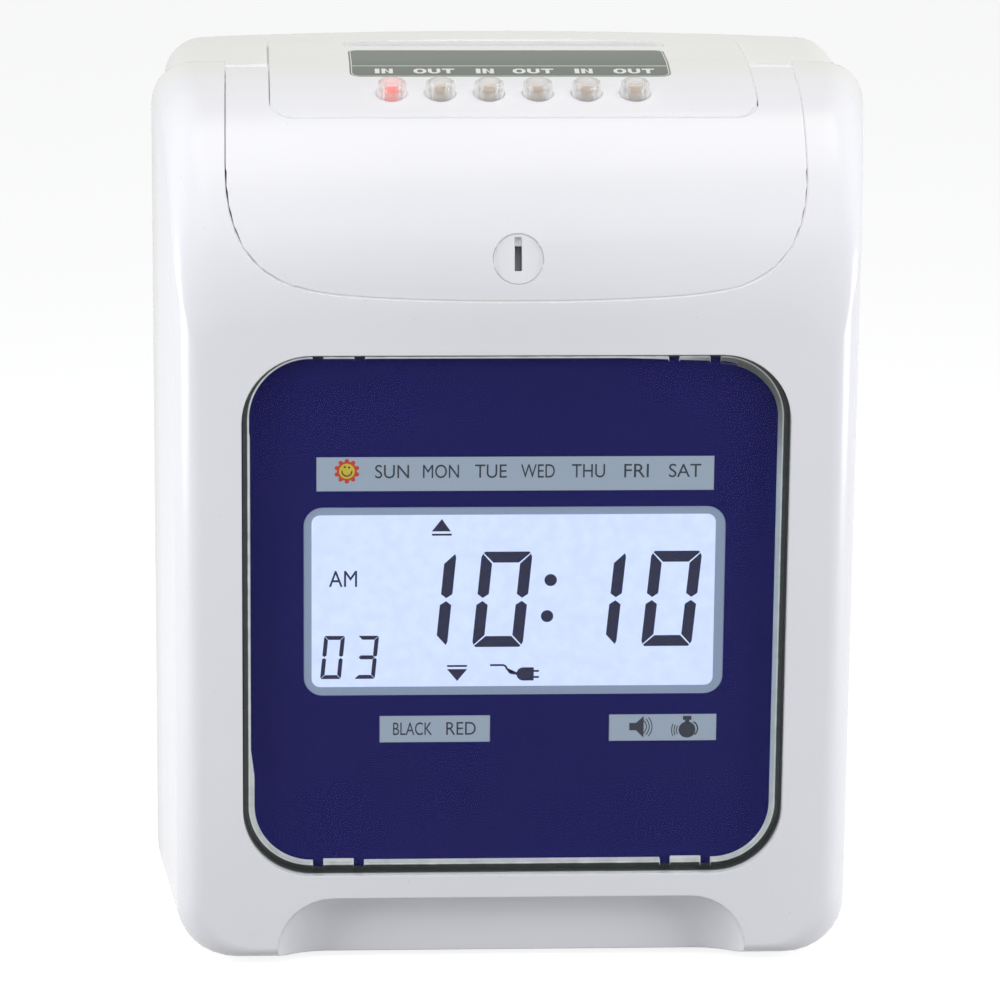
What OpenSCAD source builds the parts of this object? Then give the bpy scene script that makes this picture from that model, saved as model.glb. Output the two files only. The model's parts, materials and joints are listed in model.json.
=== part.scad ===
// Punch card time clock: a wall or desk time recorder with a card slot on top, six column
// buttons, a lit display behind a clear window and a belt driven print mechanism inside.
// Millimetres. X runs to the right, the front faces -Y, Z is up and 0 is the desk.

/* [Case] */
// Width of the case at the parting line
case_w = 204; // [190:1:250]
// Height of the moulded case above its feet
case_h = 249.5; // [240:0.5:310]
// Depth of the whole case
case_d = 110; // [106:1:140]
// Depth of the front cover, from its face to the parting line
front_d = 62; // [58:1:70]
// Moulded wall thickness
wall = 2.5; // [2:0.1:3]
// How far each side of the front cover leans in from the parting line to its face
flare = 7; // [4:0.5:9]
// Rounding between the face and the sides
edge_r = 7; // [5:0.5:10]
// Corner radius at the top of the case
corner_top_r = 12; // [8:1:16]
// Corner radius at the bottom of the case
corner_low_r = 16; // [12:1:18]
// Step from the front cover in to the rear housing
rear_step = 2; // [1:0.1:2.2]
// Step from the button panel down to the top of the rear housing
rear_drop = 1.3; // [0:0.1:2]
// Draft of the rear housing on each side
rear_draft = 1; // [0:0.5:4]
// Rise of the rear housing's top from its corners to its middle
rear_crown = 1.8; // [0:0.1:3]
// Height of the rubber feet
foot_h = 2; // [1.5:0.5:4]
// Radius of the rubber feet
foot_r = 7; // [5:0.5:9]

/* [Shoulder] */
// Slope of the top in front of the parting line, in degrees
top_slope = 8.5; // [6:0.5:10]
// Depth of the curved shoulder
shoulder_a = 41; // [36:1:44]
// Height of the curved shoulder
shoulder_b = 54; // [48:1:58]

/* [Scoop] */
// Width of the finger scoop
scoop_w = 134; // [110:1:140]
// Height of the scoop
scoop_h = 19; // [16:1:20]
// Radius of the scoop's upper corners
scoop_r = 16; // [8:1:16]
// Depth of the scoop
scoop_d = 9; // [6:0.5:10]
// How far each end of the scoop runs in over its depth
scoop_end = 14; // [4:1:18]
// How far the top of the scoop comes down over its depth
scoop_taper = 5; // [2:0.5:6]

/* [Top cover] */
// Width of the top cover
cover_w = 161; // [150:1:168]
// Distance from the top of the case down to the cover's lower edge
cover_drop = 56; // [54.5:0.5:58.5]
// Rise of the lower edge's shallow bow
cover_bow = 4; // [0:0.5:6]
// Height of the curve at the cover's lower corners
cover_curve = 30; // [28:1:44]
// Gap round the cover, the button panel and the window
gap = 0.5; // [0.4:0.1:0.8]
// Radius of the hinge barrels
hinge_r = 4.6; // [4.4:0.1:5]
// Radius of the hinge pins
pin_r = 1.2; // [1:0.1:1.3]

/* [Lock] */
// Distance from the top of the case down to the lock
lock_drop = 44.7; // [43.5:0.1:46.5]
// Radius of the lock's face
lock_r = 6.9; // [6:0.1:7.5]
// Length of the lock body behind the face
lock_len = 15; // [12:0.5:17]
// Length of the cam from the lock's axis
cam_len = 13; // [11:0.5:14]

/* [Button panel] */
// Width of the button panel
panel_w = 136.8; // [130:0.1:140]
// How far the panel reaches in front of the parting line
panel_front = 35.7; // [34:0.1:38]
// How far the panel stops short of the back of the case
panel_back = 14; // [12:0.5:16]
// Width of the card slot
slot_w = 93; // [90:1:96]
// Front to back opening of the card slot
slot_t = 5.8; // [5:0.1:6.2]
// Strip of the panel behind the card slot
slot_back = 2.6; // [2:0.1:4]
// Width of the label plate
label_w = 91; // [80:1:100]
// Corner radius of the label plate
label_r = 3; // [0.5:0.5:6]
// Radius of the clear buttons
button_r = 4.15; // [3.6:0.05:4.6]
// Distance between two buttons
button_pitch = 13.7; // [12.5:0.1:15]
// How far the buttons stand out of the panel
button_h = 3.8; // [3:0.1:4.5]
// Travel of the buttons
button_travel = 1; // [0.8:0.1:1.8]

/* [Window] */
// Width of the window opening
window_w = 153.4; // [146:0.1:156]
// Height of the window opening
window_h = 152.4; // [148:0.1:154]
// Height of the opening's lower edge above the desk
window_z = 27.7; // [27:0.1:29]
// Corner radius of the window
window_r = 19.5; // [14:0.5:22]
// Thickness of the clear window
window_t = 2.2; // [1.6:0.1:3]
// Distance from the face of the case back to the printed panel
recess = 5.5; // [5:0.1:7]

/* [Display] */
// Width of the liquid crystal display with its border
lcd_w = 119; // [100:1:122]
// Height of the liquid crystal display with its border
lcd_h = 55.3; // [48:0.1:58]
// Height of the display's lower edge above the desk
lcd_z = 79.8; // [78:0.1:84]
// Width of the weekday strip
day_w = 111.8; // [100:0.1:116]
// Height of the weekday strip
day_h = 10; // [8:0.1:11]

/* [Print mechanism] */
// Half of the clear width between the side frames
frame_x = 64.4; // [63:0.1:68]
// Thickness of the steel side frames
frame_t = 1.6; // [1.2:0.1:2]
// Distance from the top of the case down to the printing line
print_drop = 51.5; // [49.5:0.5:53.5]
// Distance from the printing line down to the card feed rollers
feed_drop = 35; // [34:0.5:36]
// Travel of the print carriage across the six columns
carriage_travel = 68; // [60:1:70]
// Radius of the feed rollers
feed_r = 9; // [8:0.1:9.4]
// Radius of the pinch rollers
pinch_r = 3.6; // [3:0.1:4]
// Thickness of a time card
card_t = 0.4; // [0.3:0.1:0.6]
// Module of the feed gears
gear_m = 0.6; // [0.5:0.05:0.6]
// Teeth of the feed gear
gear_n = 36; // [30:1:36]
// Teeth of the feed motor's pinion
pinion_n = 14; // [14:1:16]

/* [Hidden] */
$fn = 48;
eps = 0.01;

// Main planes of the case
front_y = -case_d / 2;
rear_y = case_d / 2;
seam_y = front_y + front_d;
top_z = foot_h + case_h;
half_w = case_w / 2;
inner_rear_y = rear_y - wall;
floor_z = foot_h + wall;
rear_half = half_w - rear_step;
rear_top = top_z - rear_drop;
shoulder_y = front_y + shoulder_a;
panel_rear_y = rear_y - panel_back;
panel_front_y = seam_y - panel_front;
cover_z = top_z - cover_drop;
lock_z = top_z - lock_drop;
print_z = top_z - print_drop;
feed_z = print_z - feed_drop;

// Clearances
slide_gap = 0.3;
shaft_gap = 0.05;
press_gap = 0.02;

// Height of the top surface at a depth y, for the skin (inset 0) or a layer under it
function slope_at(y) = top_z - (seam_y - y) * tan(top_slope);
function shoulder_t(y, inset) = max(0, min(1, (shoulder_y - y) / (shoulder_a - inset)));
function top_at(y, inset = 0) =
  slope_at(y) - inset - shoulder_b * (1 - sqrt(1 - pow(shoulder_t(y, inset), 2)));
function shoulder_station(angle, inset) = shoulder_y - (shoulder_a - inset) * sin(angle);
function edge_inset(y, inset) =
  let (u = max(0, edge_r - (y - front_y - inset))) edge_r - sqrt(max(0, edge_r * edge_r - u * u));

shoulder_angles = [0 : 6 : 90];
low_front_z = cover_z - 6;

// Side profile of the skin between two insets, as a closed outline in Y and Z
function skin_line(inset) = concat(
  [[seam_y, top_at(seam_y, inset)]],
  [for (a = shoulder_angles) let (y = shoulder_station(a, inset)) [y, top_at(y, inset)]],
  [[front_y + inset, low_front_z]]);
function reversed(list) = [for (i = [len(list) - 1 : -1 : 0]) list[i]];
function skin_outline(outer, inner) = concat(skin_line(outer), reversed(skin_line(inner)));

// Outline of the top cover seen from the front, grown by a margin
cover_steps = [0 : 5 : 90];
cover_pow = 8;
function cover_side(s, grow) = [for (a = cover_steps) let (k = s * sin(a))
  [(cover_w / 2 + grow) * sign(k) * abs(k),
   cover_z - grow + cover_bow * k * k + cover_curve * (1 - sqrt(max(0, 1 - pow(abs(k), cover_pow))))]];
function cover_outline(grow) = concat(
  [[-cover_w / 2 - grow, top_z + 10]], reversed(cover_side(-1, grow)), cover_side(1, grow),
  [[cover_w / 2 + grow, top_z + 10]]);

// Extrudes an outline drawn in Y and Z along X, between two planes
module along_x(x0, x1) {
  translate([x0, 0, 0]) rotate([90, 0, 90]) linear_extrude(x1 - x0) children();
}

// Extrudes an outline drawn in X and Z along Y, between two planes
module along_y(y0, y1) {
  translate([0, y1, 0]) rotate([90, 0, 0]) linear_extrude(y1 - y0) children();
}

// Cylinder along X between two planes
module rod_x(x0, x1, y, z, r) {
  translate([x0, y, z]) rotate([0, 90, 0]) cylinder(h = x1 - x0, r = r);
}

// Cylinder along Y between two planes
module rod_y(y0, y1, x, z, r) {
  translate([x, y1, z]) rotate([90, 0, 0]) cylinder(h = y1 - y0, r = r);
}

// Box between two corners
module block(a, b) {
  translate(a) cube(b - a);
}

// Flat rectangle with round corners, from its lower left corner
module round_rect(x, z, w, h, r) {
  translate([x + r, z]) square([w - 2 * r, h]);
  translate([x, z + r]) square([w, h - 2 * r]);
  for (cx = [x + r, x + w - r], cz = [z + r, z + h - r]) translate([cx, cz]) circle(r);
}

// Closed solid through a list of rings, each with the same number of points, from back to front
function ring_faces(n, m) = concat(
  [[for (i = [0 : n - 1]) i]],
  [for (j = [0 : m - 2], i = [0 : n - 1]) let (a = j * n, k = (i + 1) % n) each
    [[a + i, a + n + i, a + n + k], [a + i, a + n + k, a + k]]],
  [[for (i = [n - 1 : -1 : 0]) (m - 1) * n + i]]);
module loft(rings) {
  polyhedron([for (r = rings) each r], ring_faces(len(rings[0]), len(rings)));
}

// Quarter arc from an angle on, as points in X and Z
ring_steps = 8;
function quarter(cx, cz, r, from) = [for (k = [0 : ring_steps]) let (a = from + 90 * k / ring_steps)
  [cx + r * cos(a), cz + r * sin(a)]];

// Section of the front cover at a depth, for the skin or a layer inside it
function front_ring(y, inset) =
  let (side = half_w - flare * (seam_y - y) / front_d - edge_inset(y, inset) - inset,
       top = top_at(y, inset), low = foot_h + inset + edge_inset(y, inset) * 0.6,
       rt = corner_top_r - inset, rb = corner_low_r - inset)
  [for (p = concat(quarter(side - rb, low + rb, rb, 270), quarter(side - rt, top - rt, rt, 0),
    quarter(rt - side, top - rt, rt, 90), quarter(rb - side, low + rb, rb, 180))) [p[0], y, p[1]]];

// Closed form of the front cover, lofted through its sections
module front_form(inset, back) {
  stations = concat([back], [for (a = shoulder_angles) shoulder_station(a, inset)]);
  loft([for (y = stations) front_ring(y, inset)]);
}

// Finger scoop under the front, hollowed like a cove and grown by a margin for its wall
scoop_angles = [90 : -15 : 0];
function scoop_ring(y, grow, share) =
  let (half = scoop_w / 2 + grow - scoop_end * share, top = foot_h + scoop_h + grow - scoop_taper * share,
       r = min(scoop_r + grow, top))
  [for (p = concat([[half, -1]], quarter(half - r, top - r, r, 0), quarter(r - half, top - r, r, 90),
    [[-half, -1]])) [p[0], y, p[1]]];
module scoop_form(grow) {
  loft(concat([for (a = scoop_angles) scoop_ring(front_y + (scoop_d + grow) * sin(a), grow, 1 - cos(a))],
    [scoop_ring(front_y - 1, grow, 0)]));
}

// Places along the case where the two halves are screwed together
screw_x = half_w - flare - 12;
screw_low_z = foot_h + 18;
screw_high_z = cover_z - 5.5;
screw_r = 1.5;
boss_r = 4;
screw_head_r = 3;
screw_end_y = seam_y - 14;
screw_seat_y = rear_y - 8;
module screw_places() {
  for (x = [-screw_x, screw_x], z = [screw_low_z, screw_high_z]) translate([x, 0, z]) children();
}

// Front cover: flared shell with the window opening, the cover opening and the scoop
collar_t = 2.5;
panel_face_y = front_y + recess;
module front_cover() {
  color("gainsboro") difference() {
    union() {
      difference() {
        front_form(0, seam_y - eps);
        difference() {
          front_form(wall, seam_y + 1);
          scoop_form(wall);
        }
      }
      along_y(front_y + wall - eps, panel_face_y) difference() {
        window_outline(collar_t);
        window_outline(0);
      }
      screw_places() rod_y(screw_end_y, seam_y, 0, 0, boss_r);
      boss_webs();
      cover_ledge();
    }
    scoop_form(0);
    along_y(front_y - 1, panel_face_y) window_outline(0);
    along_y(front_y - 5, seam_y + 1) polygon(cover_outline(gap));
    screw_places() rod_y(screw_end_y - 1, seam_y + 1, 0, 0, screw_r + 0.1);
  }
}

// Web from each screw boss out to the side wall
web_t = 2;
module boss_webs() {
  reach = half_w - wall / 2 - flare * (seam_y - screw_end_y) / front_d;
  for (s = [-1, 1], z = [screw_low_z, screw_high_z])
    block([s > 0 ? screw_x : -reach, screw_end_y, z - web_t / 2],
      [s > 0 ? reach : -screw_x, seam_y, z + web_t / 2]);
}

// Ledge under the lower edge of the top cover
ledge_w = 4;
ledge_t = 1.4;
ledge_drop = wall + 0.4;
module cover_ledge() {
  intersection() {
    along_x(-cover_w / 2 - 2, cover_w / 2 + 2) polygon(skin_outline(wall - eps, ledge_drop + ledge_t));
    along_y(front_y - 1, front_y + shoulder_a * 0.3) difference() {
      polygon(cover_outline(2));
      polygon(cover_outline(-ledge_w));
    }
  }
}

module window_outline(grow) {
  round_rect(-window_w / 2 - grow, window_z - grow, window_w + 2 * grow, window_h + 2 * grow,
    window_r + grow);
}

// Rear housing: drafted tray with the screw wells, wall keyholes, inlet hole and hinge lugs
keyhole_x = 75;
keyhole_z = top_z - 45.5;
keyhole_r = 4.5;
keyhole_slot_r = 2.25;
keyhole_rise = 9;
lug_t = 3.4;
lug_x = cover_w / 2 + gap + 0.6;
hinge_y = seam_y - 0.4 - hinge_r;
hinge_z = top_at(hinge_y) - hinge_r;
inlet_w = 20;
inlet_h = 12;
inlet_x = -52;
inlet_z = 26;
pad_t = 2;
pad_r = 5;
vent_w = 2;
vent_pitch = 6;
vent_count = 9;
module rear_housing() {
  color("whitesmoke") difference() {
    union() {
      difference() {
        rear_form(0, seam_y, rear_y);
        rear_form(wall, seam_y - 1, inner_rear_y);
      }
      screw_places() rod_y(seam_y, inner_rear_y + eps, 0, 0, boss_r);
      for (s = [-1, 1]) hinge_lug(s);
      for (s = [-1, 1]) panel_seat(s);
      for (s = [-1, 1], z = frame_bolt_z) rod_y(flange_y, inner_rear_y + eps, s * frame_bolt_x, z, pad_r);
      for (x = board_post_x, z = board_post_z) rod_y(board_y, inner_rear_y + eps, x, z, board_post_r);
    }
    block([-panel_w / 2 - gap, seam_y - 1, top_z - wall],
      [panel_w / 2 + gap, panel_rear_y + gap, top_z + rear_crown + 1]);
    block([-panel_w / 2 + seat_w, seam_y - 1, top_z - wall - seat_t - 1],
          [panel_w / 2 - seat_w, panel_rear_y + gap, top_z + 1]);
    screw_places() rod_y(seam_y - 1, rear_y + 1, 0, 0, screw_r + 0.1);
    screw_places() rod_y(screw_seat_y, rear_y + 1, 0, 0, screw_head_r + 0.2);
    for (s = [-1, 1]) keyhole(s * keyhole_x);
    along_y(inner_rear_y - 1, rear_y + 1)
      round_rect(inlet_x - inlet_w / 2 - 0.2, inlet_z - inlet_h / 2 - 0.2, inlet_w + 0.4, inlet_h + 0.4, 3);
    for (i = [0 : vent_count - 1]) translate([(i - (vent_count - 1) / 2) * vent_pitch, 0, 0])
      block([-vent_w / 2, inner_rear_y - 1, 120], [vent_w / 2, rear_y + 1, 150]);
    for (s = [-1, 1]) rod_x(s > 0 ? lug_x - 1 : -lug_x - lug_t - 1, s > 0 ? lug_x + lug_t + 1 : -lug_x + 1,
      hinge_y, hinge_z, pin_r + press_gap);
  }
}

module rear_form(inset, y0, y1) {
  hull() {
    along_y(y0, y0 + eps) rear_section(inset, 0);
    along_y(y1 - eps, y1) rear_section(inset, rear_draft);
  }
}

module rear_section(inset, draft) {
  side = rear_half - inset - draft;
  low = foot_h + inset;
  high = rear_top - inset;
  r = corner_top_r - inset;
  rise = inset > 0 ? 0 : rear_crown;
  round_rect(-side, low, 2 * side, high - low, r);
  polygon(concat([[r - side, high - 1]],
    [for (k = [-1 : 0.125 : 1]) [k * (side - r), high + rise * (1 - k * k)]],
    [[side - r, high - 1]]));
}

lug_r = hinge_r - wall - 0.1;
lug_root = 12;
module hinge_lug(s) {
  x0 = s > 0 ? lug_x : -lug_x - lug_t;
  along_x(x0, x0 + lug_t) {
    translate([hinge_y, hinge_z]) circle(lug_r);
    polygon([[hinge_y, hinge_z + lug_r], [seam_y + lug_root, rear_top - wall + eps],
             [seam_y + lug_root, rear_top - wall - 6], [hinge_y, hinge_z - lug_r]]);
  }
}

// Ledge under a side of the button panel, which it rests on
seat_w = 2;
seat_t = 2.5;
module panel_seat(s) {
  x0 = s > 0 ? panel_w / 2 - seat_w : -panel_w / 2 - gap - 3;
  block([x0, seam_y, top_z - wall - seat_t], [x0 + seat_w + gap + 3, panel_rear_y + gap + 3, top_z - wall]);
}

module keyhole(x) {
  rod_y(inner_rear_y - 1, rear_y + 1, x, keyhole_z, keyhole_r);
  rod_y(inner_rear_y - 1, rear_y + 1, x, keyhole_z + keyhole_rise, keyhole_slot_r);
  block([x - keyhole_slot_r, inner_rear_y - 1, keyhole_z],
    [x + keyhole_slot_r, rear_y + 1, keyhole_z + keyhole_rise]);
}

// Rubber feet, two under each half of the case
foot_x = half_w - flare - corner_low_r - foot_r;
foot_front_y = front_y + 22;
foot_rear_y = rear_y - 14;
module feet() {
  color("dimgray") for (x = [-foot_x, foot_x], y = [foot_front_y, foot_rear_y])
    translate([x, y, 0]) rotate_extrude()
      polygon([[0, 0], [foot_r - 1, 0], [foot_r, foot_h / 2], [foot_r, foot_h], [0, foot_h]]);
}

// Four screws that hold the halves together, heads in wells at the back
screw_head_t = 2.4;
module case_screws() {
  color("silver") screw_places() difference() {
    union() {
      rod_y(screw_end_y + 2, screw_seat_y, 0, 0, screw_r);
      rod_y(screw_seat_y, screw_seat_y + screw_head_t, 0, 0, screw_head_r);
    }
    for (a = [0, 90]) rotate([0, a, 0])
      block([-2, screw_seat_y + screw_head_t - 1.2, -0.4], [2, screw_seat_y + screw_head_t + 1, 0.4]);
  }
}

// Top cover: the shoulder between the panel notch and the curved lower edge, with hinge barrels
lock_rise = (slope_at(front_y + 2) - lock_z) / shoulder_b;
lock_share = sqrt(1 - pow(1 - lock_rise, 2));
lock_sink = 0.5;
lock_y = shoulder_y - shoulder_a * lock_share + lock_sink;
lock_tilt = atan(shoulder_a * sqrt(1 - pow(lock_share, 2)) / (shoulder_b * lock_share));
notch_r = 7;
module top_cover() {
  color("white") difference() {
    union() {
      intersection() {
        along_x(-cover_w / 2, cover_w / 2) polygon(skin_outline(0, wall));
        along_y(front_y - 1, hinge_y) polygon(cover_outline(0));
      }
      for (s = [-1, 1]) rod_x(s > 0 ? panel_w / 2 + gap : -cover_w / 2,
        s > 0 ? cover_w / 2 : -panel_w / 2 - gap, hinge_y, hinge_z, hinge_r);
      at_lock() translate([0, 0, 1]) cylinder(h = nut_z - 1, r = lock_r + 2.5);
    }
    at_lock() translate([0, 0, -3]) cylinder(h = 3 + flange_z + lock_flange_t, r = lock_r + head_gap);
    at_lock() translate([0, 0, -3]) cylinder(h = 12, r = lock_thread_r + press_gap);
    panel_footprint(gap, 40);
    for (s = [-1, 1]) rod_x(s > 0 ? panel_w / 2 - 1 : -cover_w / 2 - 1,
      s > 0 ? cover_w / 2 + 1 : -panel_w / 2 + 1, hinge_y, hinge_z, pin_r + shaft_gap);
  }
}

// Frame of the lock: origin on the skin, Z pointing into the case
module at_lock() {
  translate([0, lock_y, lock_z]) rotate([-90 - lock_tilt, 0, 0]) children();
}

// Plan of the button panel, as a tall block with round front corners
module panel_footprint(grow, height) {
  translate([0, 0, top_z - height]) linear_extrude(height + 10) panel_plan(grow);
}

module panel_plan(grow) {
  half = panel_w / 2 + grow;
  back = panel_rear_y + grow;
  front = panel_front_y - grow;
  translate([-half, front + notch_r]) square([2 * half, back - front - notch_r]);
  translate([-half + notch_r, front]) square([2 * (half - notch_r), notch_r + 1]);
  for (s = [-1, 1]) translate([s * (half - notch_r), front + notch_r]) circle(notch_r);
}

// Hinge pins, held in the housing's lugs and running in the cover's barrels
pin_len = 12;
module hinge_pins() {
  color("silver") for (s = [-1, 1])
    rod_x(s > 0 ? lug_x + lug_t - pin_len - 1 : -lug_x - lug_t,
      s > 0 ? lug_x + lug_t : -lug_x - lug_t + pin_len + 1,
      hinge_y, hinge_z, pin_r);
}

// Lock: fixed body with its nut, and the barrel that turns in it with the cam on its end
barrel_r = 4.4;
lock_thread_r = 5.8;
head_t = 1.2;
head_gap = 0.2;
flange_z = head_t + 0.1;
lock_flange_t = 0.8;
module lock_body() {
  color("silver") at_lock() difference() {
    translate([0, 0, flange_z]) {
      cylinder(h = lock_flange_t, r = lock_r + head_gap - press_gap);
      cylinder(h = lock_len - flange_z, r = lock_thread_r);
    }
    translate([0, 0, -1]) cylinder(h = lock_len + 2, r = barrel_r + shaft_gap);
  }
}

nut_t = 3;
nut_z = wall + 1.5;
nut_r = 9.2;
module lock_nut() {
  color("silver") at_lock() translate([0, 0, nut_z]) difference() {
    cylinder(h = nut_t, r = nut_r, $fn = 6);
    translate([0, 0, -1]) cylinder(h = nut_t + 2, r = lock_thread_r + press_gap);
  }
}

barrel_len = lock_len + 0.4;
key_w = 2;
key_up = 6;
key_down = 3.3;
key_depth = 9;
module lock_barrel() {
  color("white") at_lock() difference() {
    union() {
      cylinder(h = head_t, r = lock_r);
      cylinder(h = barrel_len, r = barrel_r);
      translate([0, 0, barrel_len]) cylinder(h = cam_t + 0.8, r = cam_bore);
    }
    block([-key_w / 2, -key_up, -1], [key_w / 2, key_down, head_t - 0.3]);
    block([-key_w / 2, -barrel_r + 0.8, -1], [key_w / 2, key_down, key_depth]);
  }
}

cam_t = 1.6;
cam_bore = 2.5;
cam_half = 4;
module lock_cam() {
  color("silver") at_lock() translate([0, 0, barrel_len]) linear_extrude(cam_t) difference() {
    union() {
      circle(cam_half + 1);
      translate([0, -cam_half]) square([cam_len - cam_half, 2 * cam_half]);
      translate([cam_len - cam_half, 0]) circle(cam_half);
    }
    circle(cam_bore + press_gap);
  }
}

// Strike that the cam turns down behind, on the inside of the front cover
strike_half = 9;
strike_d = 10;
strike_t = 1.6;
strike_low = window_z + window_h + collar_t + 0.5;
strike_top = cover_z - 4;
module latch_strike() {
  y0 = front_y + wall;
  bend = strike_top - 5.6;
  color("silver") along_x(-strike_half, strike_half) polygon([
    [y0, strike_low], [y0 + strike_t, strike_low], [y0 + strike_t, bend - strike_t],
    [y0 + strike_d, bend - strike_t],
    [y0 + strike_d, strike_top], [y0 + strike_d - strike_t, strike_top], [y0 + strike_d - strike_t, bend],
    [y0, bend]]);
}

// Button panel: follows the skin in front of the parting line and lies level behind it
slot_y = panel_rear_y - slot_back - slot_t;
throat_low_z = top_z - 19;
throat_t = 1.4;
board_gap = 11;
board_t = 1.6;
button_y = seam_y - 26;
module button_panel() {
  color("white") difference() {
    union() {
      intersection() {
        union() {
          along_x(-panel_w / 2, panel_w / 2) polygon(skin_outline(0, wall));
          block([-panel_w / 2, seam_y - eps, top_z - wall], [panel_w / 2, panel_rear_y, top_z]);
        }
        panel_footprint(0, 40);
      }
      throat();
      on_panel() for (x = post_places) translate([x, 0, -board_gap])
        cylinder(h = board_gap - wall / 2, r = post_r);
    }
    block([-slot_w / 2, slot_y, top_z - wall - 1], [slot_w / 2, slot_y + slot_t, top_z + 1]);
    label_recess();
    on_panel() for (i = [0 : 5]) translate([button_x(i), 0, -wall - 3])
      cylinder(h = 12, r = button_r + slide_gap);
  }
}

function button_x(i) = (i - 2.5) * button_pitch;
post_r = 2.5;
post_places = [for (i = [-1, 1]) i * button_pitch * 3.4];

// Frame of the sloping panel at the row of buttons, Z along its normal
module on_panel() {
  translate([0, button_y, top_at(button_y)]) rotate([top_slope, 0, 0]) children();
}

// Funnel under the slot that leads a card into the guides
module throat() {
  along_x(-slot_w / 2 - throat_t, slot_w / 2 + throat_t) {
    polygon([[slot_y + slot_t, top_z - eps], [guide_rear_y, throat_low_z],
      [guide_rear_y + throat_t, throat_low_z],
             [slot_y + slot_t + throat_t, top_z - eps]]);
    polygon([[slot_y, top_z - wall + eps], [guide_front_y, throat_low_z],
             [guide_front_y - throat_t, throat_low_z], [slot_y - throat_t, top_z - wall + eps]]);
  }
  for (s = [-1, 1]) along_x(s > 0 ? slot_w / 2 : -slot_w / 2 - throat_t,
    s > 0 ? slot_w / 2 + throat_t : -slot_w / 2)
    polygon([[slot_y, top_z - wall + eps], [guide_front_y, throat_low_z], [guide_rear_y, throat_low_z],
             [slot_y + slot_t, top_z - wall + eps]]);
}

// Label plate: bent at the parting line, in a shallow recess of the panel
label_t = 0.5;
label_back = 18.6;
label_front = 13;
label_gap = 0.1;
label_low_y = seam_y - label_front;
module label_plan(grow) {
  translate([0, 0, top_z - 20]) linear_extrude(40)
    round_rect(-label_w / 2 - grow, label_low_y - grow, label_w + 2 * grow,
      label_front + label_back + 2 * grow, label_r + grow);
}

// Layer along the panel's surface between two depths under it
module label_layer(under, over) {
  y0 = label_low_y - 1;
  y1 = seam_y + label_back + 1;
  along_x(-label_w / 2 - 1, label_w / 2 + 1) polygon([
    [y0, slope_at(y0) - under], [seam_y, top_z - under], [y1, top_z - under],
    [y1, top_z + over], [seam_y, top_z + over], [y0, slope_at(y0) + over]]);
}

module label_recess() {
  intersection() {
    label_layer(label_t, 2);
    label_plan(label_gap);
  }
}

module label_plate() {
  color("dimgray") intersection() {
    label_layer(label_t, 0);
    label_plan(0);
  }
}

// Clear column button: cap with a retaining flange and a hollow for its lamp
flange_t = 1.2;
flange_grow = 1.2;
flange_gap = 2.1;
lamp_hollow_r = 2.5;
cap_roof = 1;
crown_r = 1;
module clear_button(i) {
  low = -wall - flange_gap - flange_t;
  color("lightyellow") on_panel() translate([button_x(i), 0, 0]) rotate_extrude() polygon([
    [lamp_hollow_r, low], [button_r + flange_grow, low], [button_r + flange_grow, low + flange_t],
    [button_r, low + flange_t], [button_r, button_h - crown_r], [button_r - 0.3, button_h - 0.3],
    [button_r - crown_r, button_h], [0, button_h], [0, button_h - cap_roof],
    [lamp_hollow_r, button_h - cap_roof]]);
}

module in_button_1() { clear_button(0); }
module out_button_1() { clear_button(1); }
module in_button_2() { clear_button(2); }
module out_button_2() { clear_button(3); }
module in_button_3() { clear_button(4); }
module out_button_3() { clear_button(5); }

// Keypad board under the panel, with a switch and a lamp for each button
keypad_half = button_pitch * 3.4 + post_r + 2;
keypad_d = 11;
module keypad_board() {
  color("seagreen") on_panel() translate([0, 0, -board_gap - board_t])
    block([-keypad_half, -keypad_d / 2, 0], [keypad_half, keypad_d / 2, board_t]);
}

switch_w = 6.2;
switch_h = board_gap - wall - flange_gap - flange_t - button_travel - 0.3;
module keypad_switches() {
  color("black") on_panel() for (i = [0 : 5]) translate([button_x(i), 0, -board_gap]) difference() {
    block([-switch_w / 2, -switch_w / 2, 0], [switch_w / 2, switch_w / 2, switch_h]);
    translate([0, 0, -1]) cylinder(h = switch_h + 2, r = lamp_r + press_gap);
  }
}

lamp_r = 2.1;
lamp_edge = 0.4;
lamp_top = button_h - cap_roof - button_travel - 0.2;
module keypad_leds() {
  color("firebrick") on_panel() for (i = [0 : 5]) translate([button_x(i), 0, -board_gap]) {
    cylinder(h = board_gap + lamp_top - lamp_edge, r = lamp_r);
    translate([0, 0, board_gap + lamp_top - lamp_edge])
      cylinder(h = lamp_edge, r1 = lamp_r, r2 = lamp_r - lamp_edge);
  }
}

// Clear window: flush plate with a skirt behind it, notched beside its four clips
skirt_t = 3;
skirt_rim = 1.1;
clip_w = 8.6;
clip_x = 49.6;
clip_notch = 3;
window_y = front_y + 0.4;
module window_notches() {
  deep = skirt_t - skirt_rim + 1;
  for (s = [-1, 1], side = [-1, 1],
    z = [window_z + gap / 2 + skirt_rim, window_z + window_h - gap / 2 - skirt_rim - deep])
    translate([s * clip_x + side * (clip_w + clip_notch) / 2 - clip_notch / 2, z])
      square([clip_notch, deep]);
}
module window() {
  color("lightcyan") {
    along_y(window_y, window_y + window_t) window_outline(-gap / 2);
    along_y(window_y + window_t - eps, panel_face_y - 0.1) difference() {
      window_outline(-gap / 2);
      window_outline(-gap / 2 - skirt_t);
      window_notches();
    }
    for (s = [-1, 1], top = [0, 1]) window_clip(s * clip_x, top);
  }
}

clip_t = 1.2;
clip_rise = 0.9;
module window_clip(x, top) {
  z = top ? window_z + window_h - gap / 2 - skirt_t - clip_rise : window_z + gap / 2 + skirt_t;
  block([x - clip_w / 2, window_y + window_t - eps, z - eps],
        [x + clip_w / 2, window_y + window_t + clip_t, z + clip_rise + 2 * eps]);
}

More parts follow.
